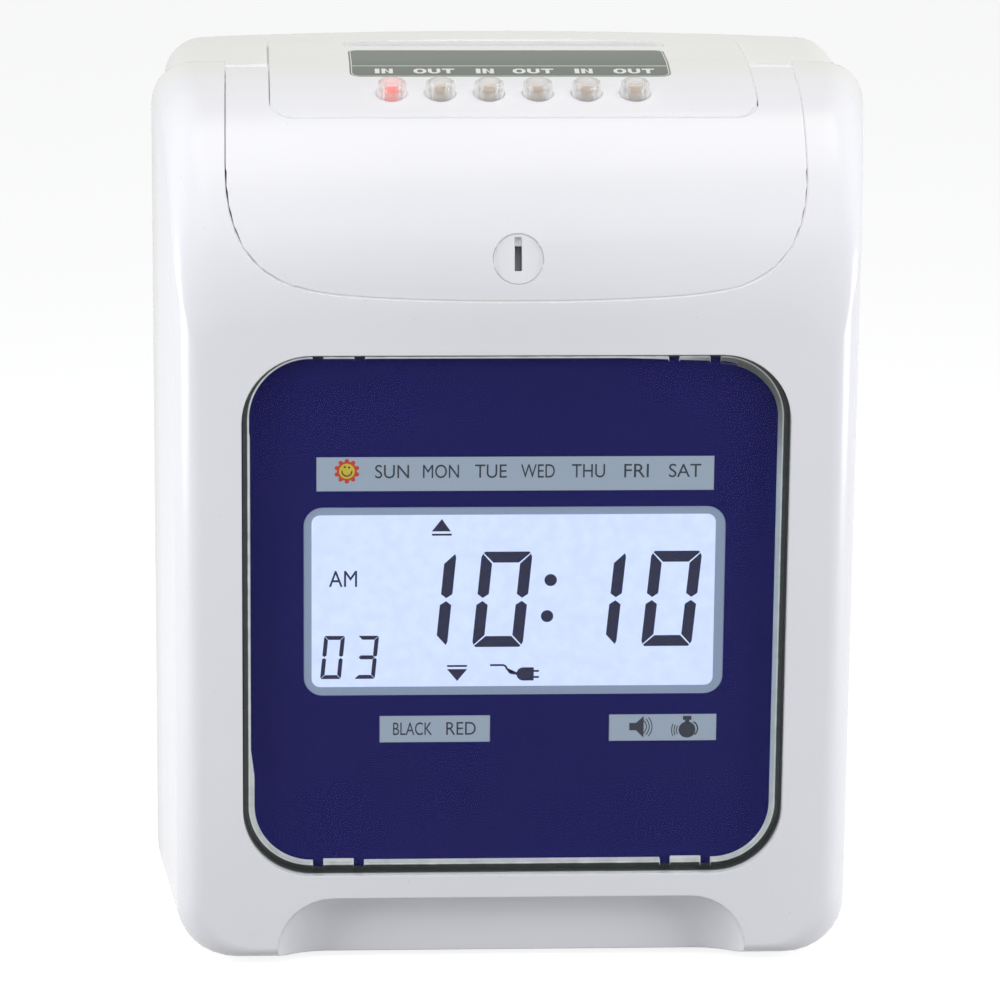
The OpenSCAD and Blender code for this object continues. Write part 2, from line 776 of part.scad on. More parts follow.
// Printed panel behind the window, open for the display and the three indicator strips
panel_t = 2;
panel_margin = 2.2;
strip_h = 8;
strip_z = lcd_z - 14;
strips = [[-day_w / 2, lcd_z + lcd_h + 4.6, day_w, day_h],
          [-38, strip_z, 31.5, strip_h], [27.3, strip_z, 30.7, strip_h]];
module display_panel() {
  color("midnightblue") along_y(panel_face_y, panel_face_y + panel_t) difference() {
    window_outline(panel_margin);
    lcd_outline(0);
    for (s = strips) translate([s[0], s[1]]) square([s[2], s[3]]);
  }
}

lcd_r = 5.5;
module lcd_outline(grow) {
  round_rect(-lcd_w / 2 - grow, lcd_z - grow, lcd_w + 2 * grow, lcd_h + 2 * grow, lcd_r + grow);
}

// Three translucent strips let into the panel
inlay_gap = 0.1;
module indicator_strips() {
  color("lightsteelblue") for (s = strips) along_y(panel_face_y + 0.1, panel_face_y + panel_t)
    translate([s[0] + inlay_gap, s[1] + inlay_gap]) square([s[2] - 2 * inlay_gap, s[3] - 2 * inlay_gap]);
}

// Display glass in the panel's opening, the backlight behind it and the holder round both
glass_t = 2.6;
light_t = 4;
holder_t = 2;
glass_back_y = panel_face_y + 0.2 + glass_t;
light_back_y = glass_back_y + light_t;
panel_back_y = panel_face_y + panel_t;
module lcd_glass() {
  color("lavender") along_y(panel_face_y + 0.2, glass_back_y) lcd_outline(-inlay_gap);
}

module backlight() {
  color("white") along_y(glass_back_y, light_back_y) lcd_outline(-inlay_gap);
}

module lcd_holder() {
  color("ivory") along_y(panel_back_y, light_back_y) difference() {
    lcd_outline(holder_t + 4);
    lcd_outline(0);
  }
}

// Board behind the display
module display_board() {
  color("seagreen") along_y(light_back_y, light_back_y + board_t) difference() {
    lcd_outline(holder_t + 4);
    for (s = [-1, 1]) translate([s * (lcd_w / 2 + 3), lcd_z + lcd_h / 2]) circle(1.6);
  }
}

// Card path and the planes of the print mechanism
card_y = slot_y + slot_t / 2 + 0.5;
guide_gap = 2.4;
guide_t = 1.2;
guide_front_y = card_y - guide_gap / 2;
guide_rear_y = card_y + guide_gap / 2;
guide_low_z = print_z - 115;
guide_top_z = throat_low_z - 0.4;
flange_y = inner_rear_y - pad_t;
frame_bolt_x = frame_x + frame_t + 6;
frame_bolt_z = [print_z - 60, print_z - 22];
frame_front_y = -32;
frame_low_z = print_z - 78;
frame_top_z = print_z + 22;
bend_t = frame_t;
feed_y = guide_front_y + 1 - feed_r;
pinch_y = feed_y + feed_r + card_t + pinch_r;
feed_shaft_r = 2.5;
pinch_shaft_r = 1.5;
ear_x = 46;
ear_t = 1.6;
mesh_angle = 225;
mesh_d = gear_m * (gear_n + pinion_n) / 2 + 0.05;
pinion_y = feed_y + mesh_d * cos(mesh_angle);
pinion_z = feed_z + mesh_d * sin(mesh_angle);
rail_z = print_z - 13;
rail_front_y = card_y - 35.2;
rail_rear_y = card_y - 17.2;
rail_front_r = 3;
rail_rear_r = 2.5;

// Steel side frames: flat plates with a flange to the rear wall and a ledge for the ribbon
ledge_z = print_z - 10;
ledge_in = 8.4;
module side_frame(s) {
  x0 = s > 0 ? frame_x : -frame_x - frame_t;
  difference() {
    union() {
      along_x(x0, x0 + frame_t) polygon([
        [frame_front_y, frame_top_z - 34], [frame_front_y, frame_top_z - 12],
        [frame_front_y + 12, frame_top_z],
        [flange_y, frame_top_z], [flange_y, frame_low_z], [4, frame_low_z], [-8, frame_low_z + 14],
        [-12, frame_top_z - 46]]);
      block([s > 0 ? frame_x : -frame_bolt_x - pad_r, flange_y - bend_t, frame_bolt_z[0] - 8],
            [s > 0 ? frame_bolt_x + pad_r : -frame_x, flange_y, frame_bolt_z[1] + 8]);
      block([s > 0 ? frame_x - ledge_in : -frame_x - frame_t, frame_front_y, ledge_z],
            [s > 0 ? frame_x + frame_t : -frame_x + ledge_in, frame_front_y + 22, ledge_z + bend_t]);
    }
    rod_x(x0 - 1, x0 + frame_t + 1, rail_front_y, rail_z, rail_front_r + press_gap);
    rod_x(x0 - 1, x0 + frame_t + 1, rail_rear_y, rail_z, rail_rear_r + press_gap);
    rod_x(x0 - 1, x0 + frame_t + 1, feed_y, feed_z, feed_shaft_r + shaft_gap);
    rod_x(x0 - 1, x0 + frame_t + 1, pinion_y, pinion_z, motor_shaft_r + 1);
    for (z = frame_bolt_z) rod_y(flange_y - bend_t - 1, flange_y + 1, s * frame_bolt_x, z, 1.6);
    for (y = [-2, 20]) rod_x(x0 - 1, x0 + frame_t + 1, y, print_z + 4, 6);
  }
}

module frame_left() { color("silver") side_frame(-1); }
module frame_right() { color("silver") side_frame(1); }

// Base plate between the frames, carrying the carriage drive
base_z = feed_z + 1;
base_front_y = card_y - 50;
base_rear_y = card_y - 19.7;
drive_y = card_y - 28.2;
drive_x = 54;
motor_shaft_r = 1;
module mechanism_base() {
  color("silver") difference() {
    union() {
      block([-frame_x, base_front_y, base_z], [frame_x, base_rear_y, base_z + frame_t]);
      block([-frame_x, base_front_y, base_z - 10], [frame_x, base_front_y + frame_t, base_z + eps]);
    }
    translate([-drive_x, drive_y, base_z - 1]) cylinder(h = frame_t + 2, r = motor_shaft_r + 2);
    translate([drive_x, drive_y, base_z - 1]) cylinder(h = frame_t + 2, r = post_pin_r + press_gap);
  }
}

// Card guides with windows for the print head and the rollers
head_window_h = 18;
roller_window_h = 16;
roller_window_half = ear_x + ear_t + 2;
guide_window_half = 48;
module guide_outline() {
  difference() {
    translate([-frame_x, guide_low_z]) square([2 * frame_x, guide_top_z - guide_low_z]);
    translate([-guide_window_half, print_z - head_window_h / 2])
      square([2 * guide_window_half, head_window_h]);
    translate([-roller_window_half, feed_z - roller_window_h / 2])
      square([2 * roller_window_half, roller_window_h]);
    for (s = [-1, 1]) translate([s * frame_x, guide_low_z]) square([30, 70], center = true);
  }
}

module card_guide_front() {
  color("silver") along_y(guide_front_y - guide_t, guide_front_y) guide_outline();
}

module card_guide_rear() {
  color("silver") along_y(guide_rear_y, guide_rear_y + guide_t) guide_outline();
}

// Platen bar behind the printing line, on two feet against the rear guide
platen_half = 46;
platen_h = 8;
module platen() {
  color("dimgray") {
    block([-platen_half, guide_rear_y + 0.1, print_z - platen_h / 2],
      [platen_half, guide_rear_y + 6, print_z + platen_h / 2]);
    block([-platen_half - 8, guide_rear_y + guide_t, print_z - platen_h / 2],
      [platen_half + 8, guide_rear_y + 4, print_z + platen_h / 2]);
  }
}

// Two ground rods that the carriage runs on
module carriage_rails() {
  color("silver") {
    rod_x(-frame_x - frame_t - 0.5, frame_x + frame_t + 0.5, rail_front_y, rail_z, rail_front_r);
    rod_x(-frame_x - frame_t - 0.5, frame_x + frame_t + 0.5, rail_rear_y, rail_z, rail_rear_r);
  }
}

// Print carriage at its home end, with its two bearings and the belt clamp
home_x = -carriage_travel / 2;
carriage_half = 15;
carriage_low = rail_z - 5;
carriage_top = rail_z + 6;
belt_t = 1;
belt_w = 5.4;
pulley_r = 6;
belt_gap = 0.2;
belt_z = base_z + frame_t + 5.5;
belt_run_y = drive_y + pulley_r + belt_gap;
clamp_half = 6;
module print_carriage() {
  color("dimgray") difference() {
    union() {
      block([home_x - carriage_half, rail_front_y - 5, carriage_low],
        [home_x + carriage_half, rail_rear_y + 5, carriage_top]);
      block([home_x - clamp_half, belt_run_y - 2.4, belt_z - 1.4],
        [home_x + clamp_half, belt_run_y + belt_t + 2.4, carriage_low + eps]);
    }
    rod_x(home_x - carriage_half - 1, home_x + carriage_half + 1, rail_front_y, rail_z,
      rail_front_r + shaft_gap);
    rod_x(home_x - carriage_half - 1, home_x + carriage_half + 1, rail_rear_y, rail_z,
      rail_rear_r + shaft_gap);
    block([home_x - clamp_half - 1, belt_run_y - slide_gap, belt_z - 5],
          [home_x + clamp_half + 1, belt_run_y + belt_t + slide_gap, belt_z + belt_w + slide_gap]);
    block([home_x - 9, rail_front_y + 5, carriage_top - 4],
      [home_x + 9, rail_rear_y - 5, carriage_top + 1]);
  }
}

// Dot matrix print head with a finned body and a narrow nose at the card
head_half = 8;
head_y0 = card_y - 34;
head_y1 = card_y - 13;
nose_y = guide_front_y - guide_t - 1;
fin_t = 1.4;
module print_head() {
  color("darkgray") {
    difference() {
      block([home_x - head_half, head_y0, carriage_top], [home_x + head_half, head_y1, print_z + 14]);
      for (i = [0 : 4]) block([home_x - head_half - 1, head_y0 + 2 + i * 3.6, print_z + 3],
        [home_x + head_half + 1, head_y0 + 2 + i * 3.6 + 3.6 - fin_t, print_z + 15]);
    }
    along_x(home_x - 4, home_x + 4) polygon([[head_y1 - eps, carriage_top], [head_y1 - eps, print_z + 9],
      [nose_y, print_z + 4], [nose_y, print_z - 4]]);
  }
}

// Carriage motor under the base plate, its pulley, the idler on its post and the belt
motor_r = 10;
motor_h = 20;
post_pin_r = 1.5;
pulley_flange_r = pulley_r + belt_gap + belt_t + 0.8;
module carriage_motor() {
  color("gray") translate([-drive_x, drive_y, base_z]) {
    translate([0, 0, -motor_h]) cylinder(h = motor_h, r = motor_r);
    translate([0, 0, -eps]) cylinder(h = frame_t + 1, r = 2);
    cylinder(h = belt_z - base_z + belt_w + 3, r = motor_shaft_r);
  }
}

module belt_pulley(bore) {
  rotate_extrude() polygon([[bore, -1.6], [pulley_flange_r, -1.6], [pulley_flange_r, -0.4],
    [pulley_r, -slide_gap],
    [pulley_r, belt_w + slide_gap], [pulley_flange_r, belt_w + 0.4], [pulley_flange_r, belt_w + 1.6],
    [bore, belt_w + 1.6]]);
}

module motor_pulley() {
  color("gainsboro") translate([-drive_x, drive_y, belt_z]) belt_pulley(motor_shaft_r + shaft_gap);
}

module idler_post() {
  color("silver") translate([drive_x, drive_y, base_z]) {
    cylinder(h = belt_z - base_z + belt_w + 3, r = post_pin_r);
    translate([0, 0, frame_t]) cylinder(h = 1.6, r = 3);
  }
}

module idler_pulley() {
  color("gainsboro") translate([drive_x, drive_y, belt_z]) belt_pulley(post_pin_r + shaft_gap);
}

module belt_loop(r) {
  for (s = [-1, 1]) translate([s * drive_x, drive_y]) circle(r);
  translate([-drive_x, drive_y - r]) square([2 * drive_x, 2 * r]);
}

module carriage_belt() {
  color("black") translate([0, 0, belt_z]) linear_extrude(belt_w) difference() {
    belt_loop(pulley_r + belt_gap + belt_t);
    belt_loop(pulley_r + belt_gap);
  }
}

// Card feed: motor and pinion, gear, shaft with three tyres, and the sprung pinch roller
gear_x = frame_x + frame_t + 3;
gear_w = 5;
feed_motor_r = 10.5;
feed_motor_len = 24;
module feed_motor() {
  color("gray") {
    rod_x(frame_x - feed_motor_len, frame_x, pinion_y, pinion_z, feed_motor_r);
    rod_x(frame_x - eps, gear_x + gear_w + 1, pinion_y, pinion_z, motor_shaft_r);
  }
}

// Involute gear outline with a little backlash
pressure = 20;
backlash = 0.14;
addendum = 0.8;
dedendum = 1.1;
function inv(a) = tan(a) - a * PI / 180;
function tooth_half(r, n) =
  let (rp = gear_m * n / 2, rb = rp * cos(pressure), a = acos(min(1, rb / r)))
  90 / n - backlash / 4 / rp * 180 / PI + (inv(pressure) - inv(a)) * 180 / PI;
function flank_radii(n) =
  let (rp = gear_m * n / 2, rb = rp * cos(pressure), r0 = rp - dedendum * gear_m,
    r1 = rp + addendum * gear_m)
  [r0, for (k = [0 : 3]) max(r0, rb) + (r1 - max(r0, rb)) * (k + 0.05) / 3.05];
function polar(r, a) = [r * cos(a), r * sin(a)];
module gear_outline(n) {
  radii = flank_radii(n);
  polygon([for (t = [0 : n - 1]) each concat(
    [for (r = radii) polar(r, 360 * t / n - tooth_half(r, n))],
    [for (r = reversed(radii)) polar(r, 360 * t / n + tooth_half(r, n))])]);
}

module feed_pinion() {
  color("gold") along_x(gear_x, gear_x + gear_w) translate([pinion_y, pinion_z]) difference() {
    rotate(mesh_angle + 180) gear_outline(pinion_n);
    circle(motor_shaft_r + shaft_gap);
  }
}

gear_web_holes = 6;
module feed_gear() {
  color("ivory") along_x(gear_x, gear_x + gear_w) translate([feed_y, feed_z]) difference() {
    rotate(mesh_angle + 180 / gear_n) gear_outline(gear_n);
    circle(feed_shaft_r + press_gap);
    for (i = [0 : gear_web_holes - 1]) rotate(360 * i / gear_web_holes) translate([6, 0]) circle(1.6);
  }
}

tyre_x = 28;
tyre_w = 9;
module feed_shaft() {
  color("silver") {
    rod_x(-frame_x - frame_t - 2, gear_x + gear_w + 1, feed_y, feed_z, feed_shaft_r);
    rod_x(-frame_x - frame_t - 1.6, -frame_x - frame_t - 0.2, feed_y, feed_z, feed_shaft_r + 1.5);
    rod_x(frame_x + frame_t + 0.2, gear_x, feed_y, feed_z, feed_shaft_r + 1.5);
  }
}

module feed_tyres() {
  color("black") for (x = [-tyre_x, 0, tyre_x]) along_x(x - tyre_w / 2, x + tyre_w / 2)
    translate([feed_y, feed_z]) difference() {
    circle(feed_r);
    circle(feed_shaft_r + press_gap);
  }
}

module pinch_roller() {
  color("dimgray") {
    rod_x(-ear_x - ear_t - 1, ear_x + ear_t + 1, pinch_y, feed_z, pinch_shaft_r);
    for (x = [-tyre_x, 0, tyre_x]) rod_x(x - tyre_w / 2, x + tyre_w / 2, pinch_y, feed_z, pinch_r);
  }
}

module pinch_bracket() {
  y0 = guide_rear_y + guide_t;
  color("silver") {
    for (s = [-1, 1]) along_x(s > 0 ? ear_x : -ear_x - ear_t, s > 0 ? ear_x + ear_t : -ear_x) difference() {
      translate([y0, feed_z - 18]) square([pinch_y - y0 + 3, 22]);
      translate([pinch_y, feed_z]) circle(pinch_shaft_r + shaft_gap);
    }
    block([-ear_x - ear_t, y0, feed_z - 18], [ear_x + ear_t, y0 + ear_t, feed_z - 11]);
  }
}

// Optical card sensor on the front guide
module card_sensor() {
  y1 = guide_front_y - guide_t;
  color("black") difference() {
    block([48, y1 - 8, print_z + 12], [60, y1, print_z + 21]);
    block([52, y1 - 9, print_z + 14], [56, y1 - 3, print_z + 22]);
  }
}

// Ribbon cartridge on the frame ledges: body, two arms and the ribbon between them
ribbon_y = guide_front_y - guide_t - 0.6;
ribbon_t = 0.3;
ribbon_h = 13;
arm_in = 50;
arm_out = 58;
cart_half = 60;
cart_front_y = -31;
cart_back_y = -13;
cart_low = ledge_z + bend_t;
cart_top = print_z + 12;
knob_x = 40;
knob_y = -22;
knob_stem_r = 2.5;
module ribbon_cartridge() {
  color("black") difference() {
    union() {
      translate([0, 0, cart_low]) linear_extrude(cart_top - cart_low) {
        plan_round(-cart_half, cart_front_y, 2 * cart_half, cart_back_y - cart_front_y, 5);
      }
      for (s = [-1, 1]) ribbon_arm(s);
      block([-arm_in - 1, ribbon_y, print_z - ribbon_h / 2],
        [arm_in + 1, ribbon_y + ribbon_t, print_z + ribbon_h / 2]);
    }
    translate([knob_x, knob_y, cart_low + 4]) cylinder(h = 40, r = knob_stem_r + shaft_gap);
  }
}

module plan_round(x, y, w, d, r) {
  round_rect(x, y, w, d, r);
}

module ribbon_arm(s) {
  tip = 1.8;
  x_in = s * arm_in;
  translate([0, 0, cart_low]) linear_extrude(print_z + 8 - cart_low) polygon([
    [s * arm_out, cart_back_y - 6], [s * arm_out, ribbon_y - 10], [x_in + s * tip, ribbon_y + ribbon_t],
    [x_in, ribbon_y + ribbon_t], [x_in, cart_back_y - 6]]);
}

knob_r = 7;
knob_h = 6;
knob_flutes = 10;
module ribbon_knob() {
  color("dimgray") translate([knob_x, knob_y, 0]) difference() {
    union() {
      translate([0, 0, cart_low + 5]) cylinder(h = cart_top - cart_low, r = knob_stem_r);
      translate([0, 0, cart_top + 0.3]) cylinder(h = knob_h, r = knob_r);
    }
    for (i = [0 : knob_flutes - 1]) rotate(360 * i / knob_flutes) translate([knob_r + 0.6, 0, cart_top])
      cylinder(h = knob_h + 2, r = 1.4);
  }
}

// Main board on posts at the rear wall, with its parts
board_y = inner_rear_y - 4;
board_x0 = -34;
board_x1 = 74;
board_z0 = 12;
board_z1 = 78;
board_post_x = [board_x0 + 6, board_x1 - 6];
board_post_z = [board_z0 + 6, board_z1 - 6];
board_post_r = 3;
module main_board() {
  color("seagreen") along_y(board_y - board_t, board_y) difference() {
    translate([board_x0, board_z0]) square([board_x1 - board_x0, board_z1 - board_z0]);
    for (x = board_post_x, z = board_post_z) translate([x, z]) circle(1.6);
  }
}

module board_parts() {
  y1 = board_y - board_t;
  color("black") {
    block([-10, y1 - 3, 40], [14, y1, 52]);
    block([24, y1 - 3, 44], [44, y1, 52]);
    block([22, y1 - 3, 28], [36, y1, 36]);
    block([-26, y1 - 8, 56], [6, y1, 63]);
    for (x = [46, 56]) rod_y(y1 - 14, y1, x, 28, 4);
    rod_y(y1 - 10, y1, -20, 30, 3.2);
  }
}

// Backup battery pack, sounder and transformer on the housing floor
cell_r = 7;
cell_len = 50;
module backup_battery() {
  color("limegreen") for (i = [0 : 1])
    rod_x(14, 14 + cell_len, 18 + i * 2 * cell_r, floor_z + cell_r, cell_r);
}

module buzzer() {
  color("black") translate([-10, 22, floor_z]) difference() {
    cylinder(h = 11, r = 11);
    translate([0, 0, 9]) cylinder(h = 5, r = 2);
  }
}

core_w = 44;
core_d = 24;
core_h = 38;
module transformer() {
  x0 = -76;
  y0 = 12;
  color("dimgray") {
    block([x0, y0, floor_z], [x0 + core_w, y0 + core_d, floor_z + core_h]);
    block([x0 + 8, y0 - 5, floor_z + 7], [x0 + core_w - 8, y0 + core_d + 5, floor_z + core_h - 7]);
  }
}

// Two pin power inlet in the rear wall, held by its inner flange
inlet_len = 14;
module power_inlet() {
  color("black") difference() {
    union() {
      along_y(rear_y - inlet_len, rear_y - 0.2)
        round_rect(inlet_x - inlet_w / 2, inlet_z - inlet_h / 2, inlet_w, inlet_h, 3);
      along_y(inner_rear_y - 2, inner_rear_y)
        round_rect(inlet_x - inlet_w / 2 - 2.5, inlet_z - inlet_h / 2 - 2.5, inlet_w + 5, inlet_h + 5, 3);
    }
    along_y(rear_y - inlet_len + 3, rear_y + 1) {
      for (s = [-1, 1]) translate([inlet_x + s * 4, inlet_z]) circle(4.2);
      translate([inlet_x - 4, inlet_z - 2.6]) square([8, 5.2]);
    }
  }
}

rear_housing();
front_cover();
feet();
case_screws();
top_cover();
hinge_pins();
lock_body();
lock_nut();
lock_barrel();
lock_cam();
latch_strike();
button_panel();
label_plate();
in_button_1();
out_button_1();
in_button_2();
out_button_2();
in_button_3();
out_button_3();
keypad_board();
keypad_switches();
keypad_leds();
window();
display_panel();
indicator_strips();
lcd_glass();
backlight();
lcd_holder();
display_board();
frame_left();
frame_right();
mechanism_base();
card_guide_front();
card_guide_rear();
platen();
carriage_rails();
print_carriage();
print_head();
carriage_motor();
motor_pulley();
idler_post();
idler_pulley();
carriage_belt();
feed_motor();
feed_pinion();
feed_shaft();
feed_tyres();
feed_gear();
pinch_roller();
pinch_bracket();
card_sensor();
ribbon_cartridge();
ribbon_knob();
main_board();
board_parts();
backup_battery();
buzzer();
transformer();
power_inlet();
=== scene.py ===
# Punch card time clock: how the part looks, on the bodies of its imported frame.
import json
import math
import bpy
import bmesh
from mathutils import Matrix, Vector


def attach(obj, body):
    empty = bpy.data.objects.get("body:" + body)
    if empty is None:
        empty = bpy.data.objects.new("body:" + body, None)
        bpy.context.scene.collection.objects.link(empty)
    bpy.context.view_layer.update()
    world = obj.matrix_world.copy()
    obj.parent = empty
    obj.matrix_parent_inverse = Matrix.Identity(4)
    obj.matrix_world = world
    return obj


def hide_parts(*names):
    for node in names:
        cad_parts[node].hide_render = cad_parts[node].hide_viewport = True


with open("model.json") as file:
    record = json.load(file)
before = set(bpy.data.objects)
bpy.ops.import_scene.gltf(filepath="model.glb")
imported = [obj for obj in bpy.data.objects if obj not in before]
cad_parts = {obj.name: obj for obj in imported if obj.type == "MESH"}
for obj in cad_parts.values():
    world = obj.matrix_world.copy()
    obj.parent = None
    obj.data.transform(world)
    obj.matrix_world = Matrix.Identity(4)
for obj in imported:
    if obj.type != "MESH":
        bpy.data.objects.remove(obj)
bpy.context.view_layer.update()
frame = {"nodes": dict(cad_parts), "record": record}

# Rear housing: the tray behind the parting line, moulded in glossy white ABS with a fine grain.
# Vents, screw wells and keyholes are open in it, and it carries the boards and the mechanism.
# Sizes are in millimetres. What lies behind slot_side and below the top is inside the card slot.
mm = 0.001
top_z, parting_y, slot_side = 251.5, 7.0, 15.0


class Wire:
    """A socket in a node tree. Sums on it become math nodes, so a material reads like a formula."""

    def __init__(self, tree, socket):
        self.tree, self.socket = tree, socket

    def node(self, kind, settings=None, inputs=None, output=0):
        """Adds any node: its type, its settings, then values or wires for its sockets."""
        made = self.tree.nodes.new(kind)
        for key, value in (settings or {}).items():
            setattr(made, key, value)
        for key, value in (inputs or {}).items():
            if isinstance(value, Wire):
                self.tree.links.new(value.socket, made.inputs[key])
            else:
                made.inputs[key].default_value = value
        return Wire(self.tree, made.outputs[output]) if len(made.outputs) else None

    def math(self, operation, first, second):
        return self.node("ShaderNodeMath", {"operation": operation}, {0: first, 1: second})

    def __add__(self, other):
        return self.math("ADD", self, other)

    def __radd__(self, other):
        return self.math("ADD", other, self)

    def __sub__(self, other):
        return self.math("SUBTRACT", self, other)

    def __rsub__(self, other):
        return self.math("SUBTRACT", other, self)

    def __mul__(self, other):
        return self.math("MULTIPLY", self, other)

    def __rmul__(self, other):
        return self.math("MULTIPLY", other, self)

    def __truediv__(self, other):
        return self.math("DIVIDE", self, other)

    def __rtruediv__(self, other):
        return self.math("DIVIDE", other, self)

    def __lt__(self, other):
        return self.math("LESS_THAN", self, other)

    def __gt__(self, other):
        return self.math("GREATER_THAN", self, other)

    def rise(self, low, high):
        """0 below low, 1 above high, straight between."""
        return self.node("ShaderNodeMapRange", {}, {0: self, 1: low, 2: high})

    def blend(self, first, second):
        """The first colour where this is 0 and the second where it is 1."""
        return self.node("ShaderNodeMix", {"data_type": "RGBA"}, {0: self, 6: first, 7: second}, 2)

    def size(self):
        """The value without its sign."""
        return self.math("ABSOLUTE", self, 0.0)

    def larger(self, other):
        return self.math("MAXIMUM", self, other)

    def axes(self):
        """The x, y and z of a place."""
        parted = self.tree.nodes.new("ShaderNodeSeparateXYZ")
        self.tree.links.new(self.socket, parted.inputs[0])
        return [Wire(self.tree, output) for output in parted.outputs]


def begin(name):
    """A fresh material, and the object's own coordinates to paint it by."""
    material = bpy.data.materials.new(name)
    material.use_nodes = True
    material.node_tree.nodes.clear()
    coordinates = material.node_tree.nodes.new("ShaderNodeTexCoord")
    return material, Wire(material.node_tree, coordinates.outputs["Object"])


def close(material, place, shader):
    place.node("ShaderNodeOutputMaterial", {}, {"Surface": shader})
    return material


def tint(r, g, b):
    """A colour as the eye sees it, as the linear light that shaders use."""
    return tuple((c / 255) ** 2.2 for c in (r, g, b)) + (1.0,)


def deeper(colour, share):
    return tuple(c * share for c in colour[:3]) + (1.0,)


def noise(place, scale, detail=3.0, stretch=(1, 1, 1)):
    """Cloudy pattern between 0 and 1. A stretch below 1 draws it out along that axis."""
    where = place.node("ShaderNodeMapping", {}, {"Vector": place, "Scale": stretch})
    return place.node("ShaderNodeTexNoise", {}, {"Vector": where, "Scale": scale, "Detail": detail})


def moulded(name, colour, rough=0.4, grain=0.06, rounding=0.0, shine=0.5, marks=1.0, glow=0.0, shaded_tone=None):
    """Moulded plastic: clouded colour, spark-eroded grain, a few rubs and specks of dust.
    With a shaded tone it takes painted shade, darker and warmer towards the back, and painted light,
    lighter near the top. A glow, which is painted light, fades below the lip of the card slot."""
    material, place = begin(name)
    y, z = place.axes()[1:]
    lip = top_z * mm
    clouds = noise(place, 13.0, 4.0)
    rubs = noise(place, 38.0, 8.0, (1, 1, 0.3)).rise(0.66, 0.8)
    specks = place.node("ShaderNodeTexVoronoi", {}, {"Vector": place, "Scale": 120.0}) < 0.035
    body = clouds.rise(0.3, 0.7).blend(deeper(colour, 0.965), colour)
    # Painted shade: towards the back the colour turns to the darker, warmer shaded tone, with painted light
    # lighter near the top.
    if shaded_tone:
        high = z.rise(lip - 0.0265, lip - 0.0045)
        body = y.rise(-0.012, 0.009).blend(body, high.blend(deeper(shaded_tone, 0.88), deeper(shaded_tone, 1.03)))
    rubbed = (rubs * 0.2 * marks).blend(body, deeper(colour, 0.8))
    dusty = (specks * 0.22 * marks).blend(rubbed, deeper(colour, 0.6))
    # Painted light: the glow gives off the surface's own colour, blacked out below the lip inside the card
    # slot.
    in_slot = y.rise(slot_side * mm, slot_side * mm + 0.001) * z.rise(lip - 0.0011, lip - 0.0027)
    inputs = {"Strength": grain, "Distance": 0.0003, "Height": noise(place, 1400.0, 2.0)}
    if rounding:
        inputs["Normal"] = place.node("ShaderNodeBevel", {"samples": 4}, {"Radius": rounding})
    return close(material, place, place.node("ShaderNodeBsdfPrincipled", {}, {
        "Base Color": dusty, "Roughness": rough + (clouds - 0.5) * 0.12, "Specular IOR Level": shine,
        "Normal": place.node("ShaderNodeBump", {}, inputs),
        "Emission Color": in_slot.blend(dusty, (0, 0, 0, 1)), "Emission Strength": glow}))


def made_mesh(holder):
    """The finished mesh of a helper object, which then goes."""
    bpy.context.scene.collection.objects.link(holder)
    mesh = bpy.data.meshes.new_from_object(holder.evaluated_get(bpy.context.evaluated_depsgraph_get()))
    holder.modifiers.clear()
    bpy.data.objects.remove(holder)
    return mesh


def refined(node, crease=28):
    """Merged copy of a CAD node's mesh, smooth over its curves and sharp at its corners."""
    mesh = frame["nodes"][node].data.copy()
    for layer in ("custom_normal", "sharp_edge", "sharp_face"):
        if layer in mesh.attributes:
            mesh.attributes.remove(mesh.attributes[layer])
    work = bmesh.new()
    work.from_mesh(mesh)
    bmesh.ops.remove_doubles(work, verts=work.verts, dist=2e-6)
    bmesh.ops.dissolve_degenerate(work, edges=work.edges, dist=1e-7)
    work.to_mesh(mesh)
    work.free()
    mesh.shade_smooth()
    mesh.set_sharp_from_angle(angle=math.radians(crease))
    holder = bpy.data.objects.new("holder", mesh)
    weighted = holder.modifiers.new("weighted", "WEIGHTED_NORMAL")
    weighted.keep_sharp = True
    return made_mesh(holder)


def piece(name, mesh, material, body, slot, *nodes):
    """Puts a mesh in the scene as a finished piece that rides a body and stands for CAD nodes."""
    mesh.materials.clear()
    mesh.materials.append(material)
    thing = bpy.data.objects.new(name, mesh)
    bpy.context.scene.collection.objects.link(thing)
    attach(thing, body)
    if nodes:
        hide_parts(*nodes)
    return thing


# Its shaded tone paints shade on the back of the case and light on the top.
white_abs = moulded("white_abs", tint(235, 235, 239), 0.25, 0.05, 0.0005, shaded_tone=tint(225, 225, 220))
housing = piece("housing", refined("rear_housing"), white_abs, "case", "case_white", "rear_housing")

# Feet and case screws: four soft rubber pads, two under each half of the case, and four zinc-plated
# cross-head screws deep in their wells at the back.


def rubber(name, colour, rough=0.75, scale=700.0):
    """Rubber: dull, dusty on the high spots, with a coarse skin."""
    material, place = begin(name)
    skin = noise(place, scale, 4.0)
    dust = noise(place, 60.0, 6.0).rise(0.5, 0.75)
    bump = place.node("ShaderNodeBump", {}, {"Strength": 0.35, "Distance": 0.0003, "Height": skin})
    return close(material, place, place.node("ShaderNodeBsdfPrincipled", {}, {
        "Base Color": (dust * 0.35).blend(colour, deeper(colour, 2.2)),
        "Roughness": rough + (skin - 0.5) * 0.2, "Specular IOR Level": 0.3, "Normal": bump}))


